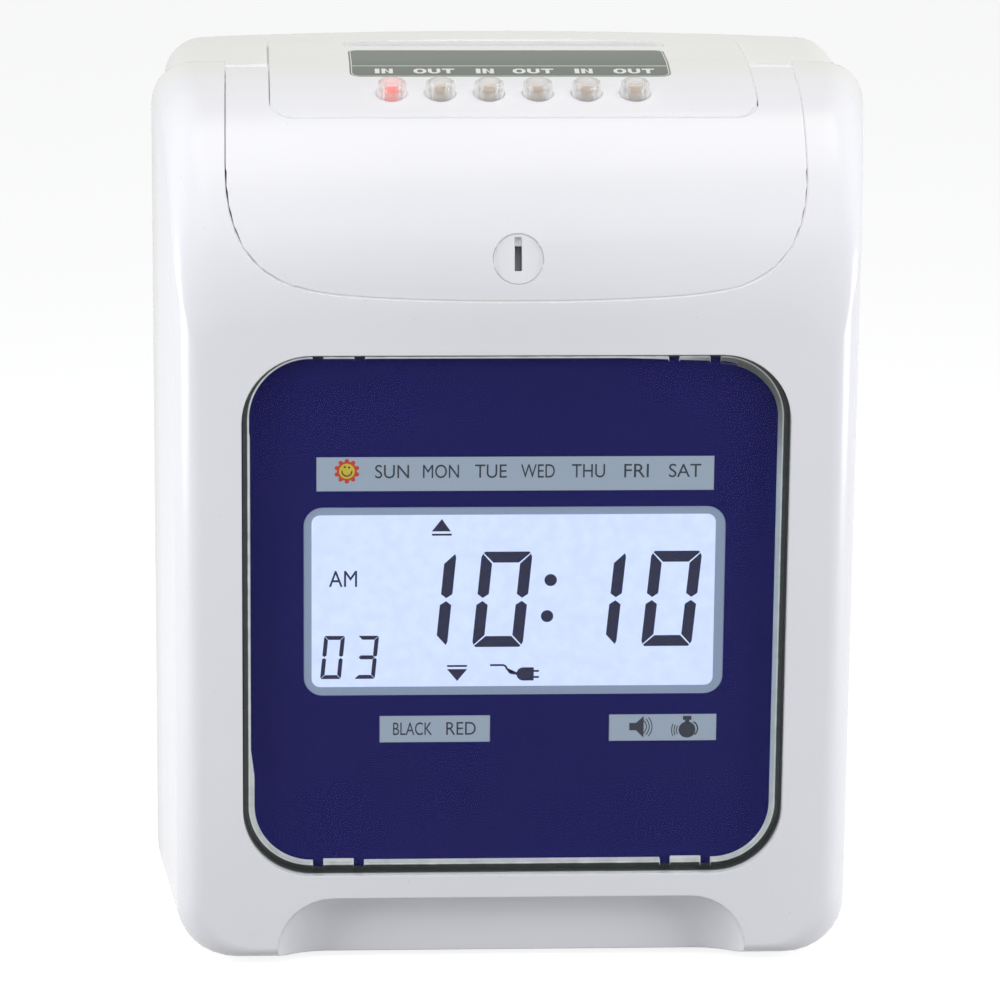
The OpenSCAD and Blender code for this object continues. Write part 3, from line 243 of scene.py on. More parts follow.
def metal(name, colour, rough=0.32, stretch=(1, 1, 1), lines=0.15):
    """Bare or plated metal with drawn lines, a clouded sheen and a few dull spots."""
    material, place = begin(name)
    drawn = noise(place, 420.0, 3.0, stretch)
    clouds = noise(place, 30.0, 5.0)
    dull = noise(place, 85.0, 8.0).rise(0.62, 0.78)
    bump = place.node("ShaderNodeBump", {}, {"Strength": lines, "Distance": 0.0002, "Height": drawn})
    return close(material, place, place.node("ShaderNodeBsdfPrincipled", {}, {
        "Base Color": (dull * 0.4).blend(clouds.blend(deeper(colour, 0.85), colour), deeper(colour, 0.6)),
        "Metallic": 1.0, "Roughness": rough + (drawn - 0.5) * 0.12 + dull * 0.2, "Normal": bump}))


foot_rubber = rubber("foot_rubber", tint(46, 46, 47))
zinc = metal("zinc_plate", tint(196, 198, 200), 0.34, (1, 0.04, 1))
piece("rubber_feet", refined("feet"), foot_rubber, "case", "foot_rubber", "feet")
piece("cross_head_screws", refined("case_screws"), zinc, "case", "steel", "case_screws")

# Front cover: one flared shell with a round shoulder, the window opening and the finger scoop.
# Its skin is a loft, and the top cover and the button panel share the shoulder's curve.
front_y, front_round = -55.0, 7.0
half_width, side_draft = 102.0, 7.0
top_slope = math.tan(math.radians(8.5))
shoulder_y, shoulder_run, shoulder_drop = -14.0, 41.0, 54.0
low_z, top_corner, low_corner = 2.0, 12.0, 16.0
lid_low_z = 188.0


def top_at(y):
    """Height of the shoulder's skin at a depth, in millimetres."""
    t = min(1.0, max(0.0, (shoulder_y - y) / shoulder_run))
    return top_z - (parting_y - y) * top_slope - shoulder_drop * (1.0 - math.sqrt(1.0 - t * t))


def off_skin(x, y, z):
    """Distance outside the lofted skin in its cross-section at a depth, in millimetres."""
    y = max(y, front_y)
    u = max(0.0, front_round - (y - front_y))
    inset = front_round - math.sqrt(max(0.0, front_round ** 2 - u * u))
    side = half_width - side_draft * (parting_y - y) / (parting_y - front_y) - inset
    top, low = top_at(y), low_z + 0.6 * inset
    if z > 0.5 * (top + low):
        r, dz = top_corner, z - (top - top_corner)
    else:
        r, dz = low_corner, (low + low_corner) - z
    dx = abs(x) - (side - r)
    if dx > 0.0 and dz > 0.0:
        return math.hypot(dx, dz) - r
    return max(dx, dz) - r


def skin_rise(x, y, z):
    """How fast the distance outside the skin grows along each axis, at a place in millimetres."""
    step = 0.02
    return Vector((off_skin(x + step, y, z) - off_skin(x - step, y, z),
                   off_skin(x, y + step, z) - off_skin(x, y - step, z),
                   off_skin(x, y, z + step) - off_skin(x, y, z - step))) / (2.0 * step)


def smooth_on_skin(mesh):
    """Turns the corners that lie on the skin to the skin's own direction, so no facet shows."""
    facing = [Vector(corner.vector) for corner in mesh.corner_normals]
    for face in mesh.polygons:
        for corner in face.loop_indices:
            x, y, z = (c / mm for c in mesh.vertices[mesh.loops[corner].vertex_index].co)
            if y > parting_y + 0.5 or abs(off_skin(x, y, z)) > 0.15:
                continue
            on_front = y < front_y + 0.01
            true = Vector((0.0, -1.0, 0.0)) if on_front else skin_rise(x, y, z).normalized()
            if face.normal.dot(true) > 0.93:
                facing[corner] = true
    mesh.normals_split_custom_set(facing)
    return mesh


def glow_painted_seams(thing, lowest, widest=200.0, deepest=3.0, steepest=0.7):
    """Gives the rims that stand under the skin, in the seams and the card slot, a white plastic that glows:
    painted light that makes them paler. Heights, widths and depths are in millimetres."""
    thing.data.materials.append(glow_painted_abs)
    for face in thing.data.polygons:
        x, y, z = (c / mm for c in face.center)
        way = skin_rise(x, y, z)
        under = -off_skin(x, y, z) / max(way.length, 0.5)
        if y > parting_y:
            under, way = top_z - z, Vector((0.0, 0.0, 1.0))
        lean = abs(face.normal.dot(way.normalized()))
        if z > lowest and abs(x) < widest and 0.0 < under < deepest and lean < steepest:
            face.material_index = 1


# Painted light: white plastic that glows with a quarter of its own colour, for the rims in the seams and
# the slot.
glow_painted_abs = moulded("glow_painted_white_abs", tint(235, 235, 236), 0.4, 0.05, glow=0.25)
skin = smooth_on_skin(refined("front_cover"))
shell = piece("front_shell", skin, white_abs, "case", "case_white", "front_cover")
glow_painted_seams(shell, lid_low_z, deepest=5.0)
glow_painted_seams(housing, top_z - 5.5, widest=88.0)

# Display panel and window: a glossy dark blue print behind a clear acrylic plate with a turned-in
# skirt and snap clips. The three indicator strips are pale windows in the print.
window_z, window_back = 103.9, -52.3
window_flat_x, window_flat_z, window_corner = 57.3, 56.8, 19.4


def clear_plastic(name):
    """Clear acrylic: see-through in front; its rim is painted with light and shade, dark, grey and glowing.
    """
    material, place = begin(name)
    x, y, z = place.axes()
    over = z - window_z * mm
    across, up = x.size() - window_flat_x * mm, over.size() - window_flat_z * mm
    aside, above = across.larger(0.0), up.larger(0.0)
    corner = aside * aside + above * above
    level = across.math("MINIMUM", across.larger(up), 0.0)
    depth = window_corner * mm - corner.math("SQRT", corner, 0.0) - level
    smear = noise(place, 22.0, 6.0).rise(0.5, 0.8)
    streak = noise(place, 240.0, 3.0, (1, 0.1, 1))
    # Painted light and shade in the rim: a dark band at the edge, a pale highlight line, grey glowing light
    # further in, painted darker in the upper right and bluer down the right, narrower along the top and the
    # left.
    top = (over - x * 0.2).rise(0.045, 0.068)
    left = (x * -1.0).rise(0.05, 0.068) * over.rise(-0.066, -0.04)
    edge = 0.0016
    band = (depth + (streak - 0.5) * 0.0004 - edge).rise(-0.0001, 0.0002)
    line = (depth - edge).rise(-0.0001, 0.0001) - (depth - edge).rise(0.0002, 0.0005)
    shaded = x.rise(0.04, 0.058) * over.rise(0.04, 0.062)
    cool = x.rise(0.05, 0.066) * over.rise(-0.066, -0.045)
    pale = cool.blend(streak.blend(tint(196, 203, 202), tint(228, 231, 227)), tint(186, 200, 208))
    tone = band.blend(tint(52, 56, 54), shaded.blend(pale, tint(104, 108, 104)))
    kept = depth < 0.0055 - (left * 0.0032).larger(top * 0.0034)
    through = place.node("ShaderNodeBsdfTransparent", {}, {"Color": (0.97, 0.975, 0.98, 1.0)})
    mirror = place.node("ShaderNodeBsdfGlossy", {}, {
        "Color": (1, 1, 1, 1), "Roughness": 0.05 + smear * 0.1})
    rim_tone_with_highlight = (line * 0.6).blend(tone, tint(246, 247, 245))
    # Painted light: the rim gives off its painted tone as a glow.
    painted_rim_light = place.node("ShaderNodeBsdfPrincipled", {}, {
        "Base Color": rim_tone_with_highlight, "Roughness": 0.25 + streak * 0.2, "Emission Color": rim_tone_with_highlight,
        "Emission Strength": 0.3})
    slant = place.node("ShaderNodeLayerWeight", {}, {"Blend": 0.5}, 1)
    front = place.node("ShaderNodeMixShader", {}, {
        0: slant.math("POWER", slant, 5.0) * 0.9 + 0.002, 1: through, 2: mirror})
    return close(material, place, place.node("ShaderNodeMixShader", {}, {
        0: (y > window_back * mm) * kept * (0.78 + streak * 0.3), 1: front, 2: painted_rim_light}))


window_clear = clear_plastic("window_acrylic")
# Painted light: the blue print, and more strongly the strip films, glow with their own colour, which
# lightens them in the recess behind the window.
panel_blue = moulded("blue_print", tint(41, 41, 99), 0.3, 0.02, shine=0.03, marks=0.2, glow=0.12)
strip_grey = moulded("strip_film", tint(136, 148, 161), 0.45, 0.03, shine=0.1, marks=0.5, glow=0.6)
piece("display_window", refined("window"), window_clear, "case", "window_clear", "window")
piece("blue_panel", refined("display_panel"), panel_blue, "case", "panel_blue", "display_panel")
piece("indicator_films", refined("indicator_strips"), strip_grey, "case", "strip_grey", "indicator_strips")


def ink(name, colour, rough=0.5, glow=0.0):
    """Screen-printed ink with a slightly uneven film."""
    material, place = begin(name)
    film = noise(place, 260.0, 5.0)
    tone = film.rise(0.25, 0.75).blend(deeper(colour, 0.9), colour)
    return close(material, place, place.node("ShaderNodeBsdfPrincipled", {}, {
        "Base Color": tone, "Roughness": rough + (film - 0.5) * 0.2, "Emission Color": tone,
        "Emission Strength": glow}))


def prints(name, shapes, surface, thick, material, body, slot):
    """Thin solid print. Each shape is a loop of points, or a pair of loops for a band."""
    work = bmesh.new()
    for shape in shapes:
        loops = shape if isinstance(shape[0][0], (list, tuple)) else [shape]
        low = [[work.verts.new(surface(a, b, 0.0)) for a, b in loop] for loop in loops]
        high = [[work.verts.new(surface(a, b, thick)) for a, b in loop] for loop in loops]
        count = len(loops[0])
        for i in range(count):
            k = (i + 1) % count
            for bottom, top in zip(low, high):
                work.faces.new((bottom[i], bottom[k], top[k], top[i]))
            if len(loops) == 2:
                work.faces.new((high[0][i], high[0][k], high[1][k], high[1][i]))
                work.faces.new((low[0][k], low[0][i], low[1][i], low[1][k]))
        if len(loops) == 1:
            work.faces.new(high[0])
            work.faces.new(low[0][::-1])
    bmesh.ops.recalc_face_normals(work, faces=work.faces)
    mesh = bpy.data.meshes.new(name)
    work.to_mesh(mesh)
    work.free()
    return piece(name, mesh, material, body, slot)


def lettering(name, words, surface, thick, material, body, slot):
    """Printed words, each with the box (left, low, right, high) that it fills."""
    work = bmesh.new()
    for text, (left, low, right, high) in words:
        curve = bpy.data.curves.new(name, "FONT")
        curve.body = text
        curve.extrude = 0.5
        curve.resolution_u = 6
        letters = made_mesh(bpy.data.objects.new(name, curve))
        xs = [v.co.x for v in letters.vertices]
        ys = [v.co.y for v in letters.vertices]
        for v in letters.vertices:
            a = left + (v.co.x - min(xs)) / (max(xs) - min(xs)) * (right - left)
            b = low + (v.co.y - min(ys)) / (max(ys) - min(ys)) * (high - low)
            v.co = surface(a, b, thick if v.co.z > 0.0 else 0.0)
        work.from_mesh(letters)
    bmesh.ops.recalc_face_normals(work, faces=work.faces)
    mesh = bpy.data.meshes.new(name)
    work.to_mesh(mesh)
    work.free()
    return piece(name, mesh, material, body, slot)


strip_y, ink_thick = -49.41, 0.03


def on_strip(x, z, lift):
    """A place on the front of the indicator strips."""
    return Vector((x, strip_y - lift, z)) * mm


def arc(x, z, r, start, end, count):
    """Points on an arc, angles in degrees."""
    turns = [math.radians(start + (end - start) * i / (count - 1)) for i in range(count)]
    return [(x + r * math.cos(t), z + r * math.sin(t)) for t in turns]


def disc(x, z, r, count=32):
    return arc(x, z, r, 0.0, 360.0 - 360.0 / count, count)


def curved_bar(x, z, r, width, start, end):
    """A bent bar: an arc's outer edge and back along its inner edge."""
    return arc(x, z, r + width / 2, start, end, 12) + arc(x, z, r - width / 2, end, start, 12)


dark_ink = ink("dark_ink", tint(48, 52, 64))
days_low, days_high = 143.5, 147.4
days = (("SUN", -39.4, -29.9), ("MON", -26.0, -15.9), ("TUE", -11.4, -2.5), ("WED", 1.5, 11.0),
        ("THU", 15.8, 25.1), ("FRI", 30.5, 37.4), ("SAT", 43.1, 52.2))
lettering("weekdays", [(day, (left, days_low, right, days_high)) for day, left, right in days],
          on_strip, ink_thick, dark_ink, "case", "strip_grey")
inks_low, inks_high = 68.0, 71.8
lettering("ribbon_colours", [("BLACK", (-34.1, inks_low, -23.05, inks_high)),
                             ("RED", (-19.0, inks_low, -10.6, inks_high))],
          on_strip, ink_thick, dark_ink, "case", "strip_grey")
wave_width = 0.26
speaker = [(33.1, 69.0), (35.0, 69.0), (37.2, 66.8), (37.2, 73.2), (35.0, 71.2), (33.1, 71.2)]
waves = [curved_bar(35.4, 70.0, r, wave_width, -h, h) for r, h in ((2.6, 46.0), (3.4, 44.0), (4.2, 42.0))]
watch = disc(49.6, 69.1, 2.4)
crown = [(48.4, 73.2), (50.8, 73.2), (50.8, 72.0), (50.2, 72.0), (50.2, 71.3), (49.0, 71.3),
         (49.0, 72.0), (48.4, 72.0)]
rings = [curved_bar(49.6, 69.0, r, wave_width, 156.0, 204.0) for r in (3.0, 3.7, 4.4)]
handle = curved_bar(50.3, 69.4, 2.3, 0.4, -52.0, 62.0)
prints("sound_signs", [speaker, watch, crown, handle] + waves + rings, on_strip, ink_thick, dark_ink,
       "case", "strip_grey")

# Sunday's sign: a smiling yellow sun in a ring of ten round orange petals, printed on the top strip.
# Ring, disc and face lie one over another, as the passes of a screen print do.
sun_x, sun_z, sun_r = -47.3, 145.6, 2.8


def petals(count, radius, size, material):
    """A ring of equal flat discs, made by one node tree with named sizes."""
    tree = bpy.data.node_groups.new("petal_ring", "GeometryNodeTree")
    tree.interface.new_socket("Mesh", in_out="OUTPUT", socket_type="NodeSocketGeometry")
    sizes = {}
    for label, kind, value in (("Count", "NodeSocketInt", count), ("Radius", "NodeSocketFloat", radius),
                               ("Size", "NodeSocketFloat", size)):
        sizes[tree.interface.new_socket(label, in_out="INPUT", socket_type=kind).identifier] = value
    entry = tree.nodes.new("NodeGroupInput")
    number, reach, half = (Wire(tree, entry.outputs[k]) for k in range(3))
    ring = number.node("GeometryNodeMeshCircle", {}, {"Vertices": number, "Radius": reach})
    turn = number.node("ShaderNodeCombineXYZ", {}, {"Z": math.pi / number})
    spread = number.node("GeometryNodeTransform", {}, {"Geometry": ring, "Rotation": turn})
    petal = number.node("GeometryNodeMeshCylinder", {}, {"Vertices": 20, "Radius": half, "Depth": 0.024})
    stood = number.node("GeometryNodeInstanceOnPoints", {}, {"Points": spread, "Instance": petal})
    whole = number.node("GeometryNodeRealizeInstances", {}, {"Geometry": stood})
    inked = number.node("GeometryNodeSetMaterial", {}, {"Geometry": whole, "Material": material})
    leave = tree.nodes.new("NodeGroupOutput")
    tree.links.new(inked.socket, leave.inputs[0])
    holder = bpy.data.objects.new("holder", bpy.data.meshes.new("holder"))
    grow = holder.modifiers.new("grow", "NODES")
    grow.node_group = tree
    for identifier, value in sizes.items():
        grow[identifier] = value
    return made_mesh(holder)


orange_ink = ink("orange_ink", tint(214, 74, 44))
yellow_ink = ink("yellow_ink", tint(232, 206, 70))
sun_petals = petals(10, sun_r + 0.17, 0.6, orange_ink)
for v in sun_petals.vertices:
    v.co = on_strip(sun_x + v.co.x, sun_z + v.co.y, 0.015 + v.co.z)
piece("sun_petals", sun_petals, orange_ink, "case", "strip_grey")
prints("sun_ring", [disc(sun_x, sun_z, sun_r)], on_strip, 0.04, orange_ink, "case", "strip_grey")
prints("sun_disc", [disc(sun_x, sun_z, sun_r - 0.6)], on_strip, 0.06, yellow_ink, "case", "strip_grey")
eyes = [disc(sun_x - 0.6, sun_z + 1.2, 0.3, 12), disc(sun_x + 0.6, sun_z + 1.1, 0.3, 12)]
smile = curved_bar(sun_x, sun_z, 1.4, 0.36, 175.0, 365.0)
prints("sun_face", eyes + [smile], on_strip, 0.08, dark_ink, "case", "strip_grey")

# Liquid crystal display: a grey-blue glass with a bright lit field and dark slanted segments.
# It shows the date and the hour, with the morning sign and three small state signs.
glass_y = -49.31


def on_glass(x, z, lift):
    """A place on the front of the display glass."""
    return Vector((x, glass_y - lift, z)) * mm


def field(x0, z0, x1, z1, r):
    """A rectangle with round corners."""
    return (arc(x1 - r, z0 + r, r, 270, 360, 7) + arc(x1 - r, z1 - r, r, 0, 90, 7)
            + arc(x0 + r, z1 - r, r, 90, 180, 7) + arc(x0 + r, z0 + r, r, 180, 270, 7))


def segments(number, x, z, w, h, t, lean):
    """One slanted seven-segment number as separate bars with mitred ends."""
    lit = {"0": "abcdef", "1": "bc", "3": "abgcd"}[number]
    g, c, m, half = t * 0.1, t * 0.2, t * 0.5, h / 2
    side = [(w, h - g - 2 * c), (w - c * 0.6, h - g - c * 0.5), (w - t, h - t - g), (w - t, half + m),
            (w - m, half + g * 1.4), (w, half + m)]
    bars = {
        "a": [(g + c, h), (w - g - c, h), (w - g - c * 0.4, h - c * 0.6), (w - t - g, h - t),
              (t + g, h - t), (g + c * 0.4, h - c * 0.6)],
        "g": [(m + g, half), (t + g, half + m), (w - t - g, half + m), (w - m - g, half),
              (w - t - g, half - m), (t + g, half - m)],
        "b": side}
    bars["c"] = [(a, h - b) for a, b in side]
    bars["d"] = [(a, h - b) for a, b in bars["a"]]
    bars["f"] = [(w - a, b) for a, b in side]
    bars["e"] = [(w - a, h - b) for a, b in side]
    slope = math.tan(math.radians(lean))
    return [[(x + a + b * slope, z + b) for a, b in bars[s]] for s in lit]


glass_tone = moulded("display_glass", tint(144, 159, 182), 0.25, 0.01, shine=0.1, marks=0.3, glow=0.25)
lit_field = ink("lit_field", tint(192, 205, 234), 0.4, 0.7)
crystal = ink("dark_crystal", tint(26, 29, 64), 0.4)
piece("display_glass", refined("lcd_glass"), glass_tone, "case", "lcd", "lcd_glass")
lit_area = field(-57.2, 82.4, 56.6, 132.8, 2.4)
prints("display_field", [lit_area], on_glass, ink_thick, lit_field, "case", "lcd")

# Foot, width, height, stroke and slant in degrees of the time's and the date's numbers.
large, small = (94.0, 14.3, 28.0, 3.2, 5.4), (84.8, 5.85, 12.7, 1.15, 5.4)
hours = segments("1", -33.3, *large) + segments("0", -11.9, *large)
minutes = segments("1", 14.6, *large) + segments("0", 36.0, *large)
date = segments("0", -54.8, *small) + segments("3", -45.2, *small)
colon = [disc(10.2, 113.6, 1.75), disc(9.3, 103.0, 1.75)]
arrows = [[(-23.4, 128.0), (-18.1, 128.0), (-20.6, 131.6)], field(-23.4, 126.75, -17.8, 127.3, 0.2),
          [(-18.9, 87.5), (-16.0, 84.0), (-13.2, 87.5)], field(-18.9, 88.15, -13.2, 88.7, 0.2)]
cord_width = 0.55
upper_bend, lower_bend = (-3.2, 87.4, 1.5), (-0.4, 87.2, 1.3)
cord = [(-6.7, 88.9), (-3.6, 88.9)] + arc(*upper_bend, 80, 0, 6) + arc(*lower_bend, 190, 260, 6)
cord += [(1.2, 85.7), (1.2, 85.7 + cord_width)]
cord += arc(*lower_bend[:2], lower_bend[2] - cord_width, 260, 190, 6)
cord += arc(*upper_bend[:2], upper_bend[2] - cord_width, 0, 80, 6) + [(-6.7, 88.9 - cord_width)]
plug = arc(2.75, 85.95, 1.95, 90, 270, 12) + [(5.7, 84.0), (5.7, 87.9)]
prongs = [field(5.6, 86.55, 7.2, 87.1, 0.15), field(5.6, 84.75, 7.2, 85.3, 0.15)]


def on_field(x, z, lift):
    """A place on the lit field, just over the glass."""
    return on_glass(x, z, lift + ink_thick + 0.005)


prints("display_time", hours + minutes + date + colon, on_field, ink_thick, crystal, "case", "lcd")
prints("display_signs", arrows + [cord, plug] + prongs, on_field, ink_thick, crystal, "case", "lcd")
morning = [("AM", (-52.3, 111.9, -44.4, 116.6))]
lettering("display_morning", morning, on_field, ink_thick, crystal, "case", "lcd")

# Display supports: the white light box behind the glass, the black frame that holds both on the back
# of the panel, and the driver board that closes the frame.


def board(name):
    """Green solder mask with paler copper runs under it and tinned dots."""
    material, place = begin(name)
    across = place.node("ShaderNodeTexWave", {"wave_type": "BANDS", "bands_direction": "X"},
                        {"Vector": place, "Scale": 62.0, "Distortion": 1.2}, 1)
    along = place.node("ShaderNodeTexWave", {"wave_type": "BANDS", "bands_direction": "Z"},
                       {"Vector": place, "Scale": 62.0, "Distortion": 1.2}, 1)
    area = noise(place, 38.0, 1.0) > 0.5
    run = area * (across > 0.72) + (1.0 - area) * (along > 0.72)
    dots = place.node("ShaderNodeTexVoronoi", {}, {"Vector": place, "Scale": 150.0}) < 0.12
    mask = (run * 0.8).blend(tint(18, 92, 58), tint(44, 128, 82))
    bump = place.node("ShaderNodeBump", {}, {"Strength": 0.25, "Distance": 0.0002, "Height": run})
    return close(material, place, place.node("ShaderNodeBsdfPrincipled", {}, {
        "Base Color": (dots * 1.0).blend(mask, tint(190, 192, 190)), "Metallic": dots * 0.9,
        "Roughness": 0.34 + noise(place, 90.0, 4.0) * 0.15, "Normal": bump}))


solder_mask = board("solder_mask")
black_plastic = moulded("black_plastic", tint(34, 34, 36), 0.5, 0.12)
diffuser = moulded("white_diffuser", tint(232, 232, 232), 0.5, 0.05)
piece("light_box", refined("backlight"), diffuser, "case", "light_white", "backlight")
piece("display_holder", refined("lcd_holder"), black_plastic, "case", "black_plastic", "lcd_holder")
piece("driver_board", refined("display_board"), solder_mask, "case", "board_green", "display_board")

# Button panel and its label: the sloping top plate with the card slot and the button holes, and a
# bent plate painted grey in a shallow recess, with the names of the buttons along its front.
label_half, label_front_y, label_back_y = 45.5, -6.0, 25.6
rule_y, rule_thick, rule_half = 2.95, 0.35, label_half - 0.6
name_y, name_h, stroke = -3.3, 4.0, 1.05


def on_label(x, y, lift):
    """A place on the label, which is bent where the slope meets the flat housing."""
    height = top_z - max(0.0, parting_y - y) * top_slope
    return Vector((x, y, height + lift)) * mm


label_paint = moulded("label_paint", tint(106, 112, 105), 0.42, 0.05, shine=0.25, marks=0.8)
pale_ink = ink("pale_ink", tint(232, 234, 228), 0.5)
skin = smooth_on_skin(refined("button_panel"))
button_plate = piece("button_plate", skin, white_abs, "case", "case_white", "button_panel")
glow_painted_seams(button_plate, lid_low_z + 12.0, deepest=60.0, steepest=0.85)
piece("label", refined("label_plate"), label_paint, "case", "label_grey", "label_plate")


def label_band(inset, r):
    """The label's outline drawn in by an inset, with points where it bends."""
    x, y0, y1 = label_half - inset, label_front_y + inset, label_back_y - inset
    return (arc(x - r, y0 + r, r, 270, 360, 7) + [(x, parting_y)] + arc(x - r, y1 - r, r, 0, 90, 7)
            + arc(r - x, y1 - r, r, 90, 180, 7) + [(-x, parting_y)] + arc(r - x, y0 + r, r, 180, 270, 7))


rule = [(-rule_half, rule_y), (rule_half, rule_y),
        (rule_half, rule_y + rule_thick), (-rule_half, rule_y + rule_thick)]
border = [label_band(0.3, 2.7), label_band(0.55, 2.5)]
prints("label_border", [border], on_label, ink_thick, pale_ink, "case", "label_grey")
prints("label_rule", [rule], on_label, ink_thick, pale_ink, "case", "label_grey")


def block_letter(letter, x, w, t):
    """A wide block letter as an outline or a band, in a box of width w and with a stroke t."""
    h, v, c = name_h, t * 0.8, name_h * 0.25
    k, mid = c * 0.4, w / 2
    form = {
        "I": [[(0, 0), (t, 0), (t, h), (0, h)]],
        "N": [[(0, 0), (t, 0), (t, h - v * 1.3), (w - t, 0), (w, 0), (w, h), (w - t, h), (w - t, v * 1.3),
               (t, h), (0, h)]],
        "O": [[(c, 0), (w - c, 0), (w, c), (w, h - c), (w - c, h), (c, h), (0, h - c), (0, c)],
              [(t + k, v), (w - t - k, v), (w - t, v + k), (w - t, h - v - k), (w - t - k, h - v),
               (t + k, h - v), (t, h - v - k), (t, v + k)]],
        "U": [[(c, 0), (w - c, 0), (w, c), (w, h), (w - t, h), (w - t, v + k), (w - t - k, v), (t + k, v),
               (t, v + k), (t, h), (0, h), (0, c)]],
        "T": [[(mid - t / 2, 0), (mid + t / 2, 0), (mid + t / 2, h - v), (w, h - v), (w, h), (0, h),
               (0, h - v), (mid - t / 2, h - v)]]}[letter]
    loops = [[(x + a, name_y + b) for a, b in loop] for loop in form]
    return loops if len(loops) == 2 else loops[0]


names = []
for left in (-38.5, -9.8, 18.3):
    names += [block_letter("I", left, 1.3, 1.3), block_letter("N", left + 1.9, 3.2, stroke)]
for left in (-27.5, 0.7, 29.4):
    names += [block_letter("O", left, 3.6, stroke), block_letter("U", left + 4.1, 3.5, stroke),
              block_letter("T", left + 8.1, 3.5, 1.1)]
prints("button_names", names, on_label, ink_thick, pale_ink, "case", "label_grey")

# Buttons: six clear acrylic caps, each over a lamp and a small switch on the keypad board. The lamp
# of the first one is lit and red, and the others are off and look grey-brown.
lamp_split = -28.0


def crystal_clear(name):
    """Polished clear acrylic that bends light, with painted sheen at a slant and the lamp's colour painted
    on top.
    """
    material, place = begin(name)
    x, y, z = place.axes()
    height = z - top_z * mm + (parting_y * mm - y) * top_slope
    smear = noise(place, 140.0, 5.0).rise(0.5, 0.8)
    bent = place.node("ShaderNodeBsdfPrincipled", {}, {
        "Base Color": (0.97, 0.97, 0.96, 1.0), "Roughness": 0.03 + smear * 0.08, "IOR": 1.49,
        "Transmission Weight": 1.0})
    through = place.node("ShaderNodeBsdfTransparent", {}, {"Color": (0.96, 0.96, 0.955, 1.0)})
    # Painted light: the top of each cap takes its lamp's colour, red over the lit first lamp and grey-brown
    # over the others.
    lamp = (x < lamp_split * mm).blend(tint(146, 138, 128), tint(238, 96, 102))
    crown, painted_foot_sheen = height.rise(0.0031, 0.0036), height.rise(0.0014, 0.0004)
    white = (crown * 0.9).blend((0.9, 0.9, 0.9, 1.0), lamp)
    # Painted sheen: a white, faintly glowing layer, mixed in at a slant and near the foot.
    painted_sheen = place.node("ShaderNodeBsdfPrincipled", {}, {
        "Base Color": white, "Roughness": 0.08 + smear * 0.1, "Coat Weight": 0.5,
        "Emission Color": white, "Emission Strength": 0.14})
    slant = place.node("ShaderNodeLayerWeight", {}, {"Blend": 0.5}, 1)
    thin = place.node("ShaderNodeMixShader", {}, {
        0: slant.rise(0.15, 0.75) * 0.85 + painted_foot_sheen * 0.3, 1: through, 2: painted_sheen})
    return close(material, place, place.node("ShaderNodeMixShader", {}, {0: 0.4, 1: thin, 2: bent}))


def lamps(name):
    """Tinted lamp bodies: the first glows, the others look grey-brown."""
    material, place = begin(name)
    first = place.axes()[0] < lamp_split * mm
    haze = noise(place, 300.0, 3.0)
    body = haze.blend(tint(168, 150, 136), tint(186, 168, 154))
    return close(material, place, place.node("ShaderNodeBsdfPrincipled", {}, {
        "Base Color": first.blend(body, tint(206, 118, 108)), "Roughness": 0.25 + haze * 0.15,
        "Emission Color": first.blend((0, 0, 0, 1), tint(236, 90, 90)), "Emission Strength": 0.4}))


acrylic = crystal_clear("button_acrylic")
for number in (1, 2, 3):
    for side in ("in", "out"):
        node = f"{side}_button_{number}"
        piece(f"{node}_clear", refined(node), acrylic, f"{node}_cap", "clear_button", node)
piece("button_lamps", refined("keypad_leds"), lamps("button_lamps"), "case", "lamp_red", "keypad_leds")
switches = refined("keypad_switches")
piece("button_switches", switches, black_plastic, "case", "black_plastic", "keypad_switches")
piece("button_board", refined("keypad_board"), solder_mask, "case", "board_green", "keypad_board")

# Top cover and lock: the white shoulder lid that turns up on two steel pins, and a cam lock whose
# white face lies flush in it.


def drawn_rim(mesh, reach):
    """Draws the lid's side and lower rims out at the skin, in millimetres, so that its seam is fine."""
    work = bmesh.new()
    work.from_mesh(mesh)
    work.normal_update()
    moves = {}
    for vertex in work.verts:
        x, y, z = (c / mm for c in vertex.co)
        if y > parting_y - 3.0 or abs(off_skin(x, y, z)) > 0.06:
            continue
        rims = [face.normal for face in vertex.link_faces if face.normal.y < 0.3
                and abs(off_skin(*(c / mm for c in face.calc_center_median()))) > 0.2]
        if rims:
            way = sum(rims, Vector())
            way.y = 0.0
            moves[vertex] = way.normalized() * reach * mm
    for vertex, move in moves.items():
        vertex.co += move
    work.to_mesh(mesh)
    work.free()
    return mesh


chrome = metal("chrome_plate", tint(206, 207, 210), 0.16, (1, 1, 1), 0.05)
skin = smooth_on_skin(drawn_rim(refined("top_cover"), 0.3))
glow_painted_seams(piece("lid", skin, white_abs, "cover", "case_white", "top_cover"), lid_low_z)
piece("pins", refined("hinge_pins"), zinc, "case", "steel", "hinge_pins")
piece("lock_sleeve", refined("lock_body"), chrome, "cover", "lock_metal", "lock_body")
piece("lock_ring_nut", refined("lock_nut"), zinc, "cover", "steel", "lock_nut")
piece("lock_face", refined("lock_barrel"), white_abs, "lock", "case_white", "lock_barrel")
piece("lock_tongue", refined("lock_cam"), zinc, "lock", "steel", "lock_cam")
piece("strike", refined("latch_strike"), zinc, "case", "steel", "latch_strike")

# Print mechanism: zinc-plated side frames and base, the card path, the rails with the printing
# carriage, its toothed belt, the rubber feed rollers in front of the card and the pinch roller behind.


def slot_of(node):
    """The record's material slot of a CAD node."""
    return next(part["material_slot"] for part in frame["record"]["subparts"] if part["node"] == node)


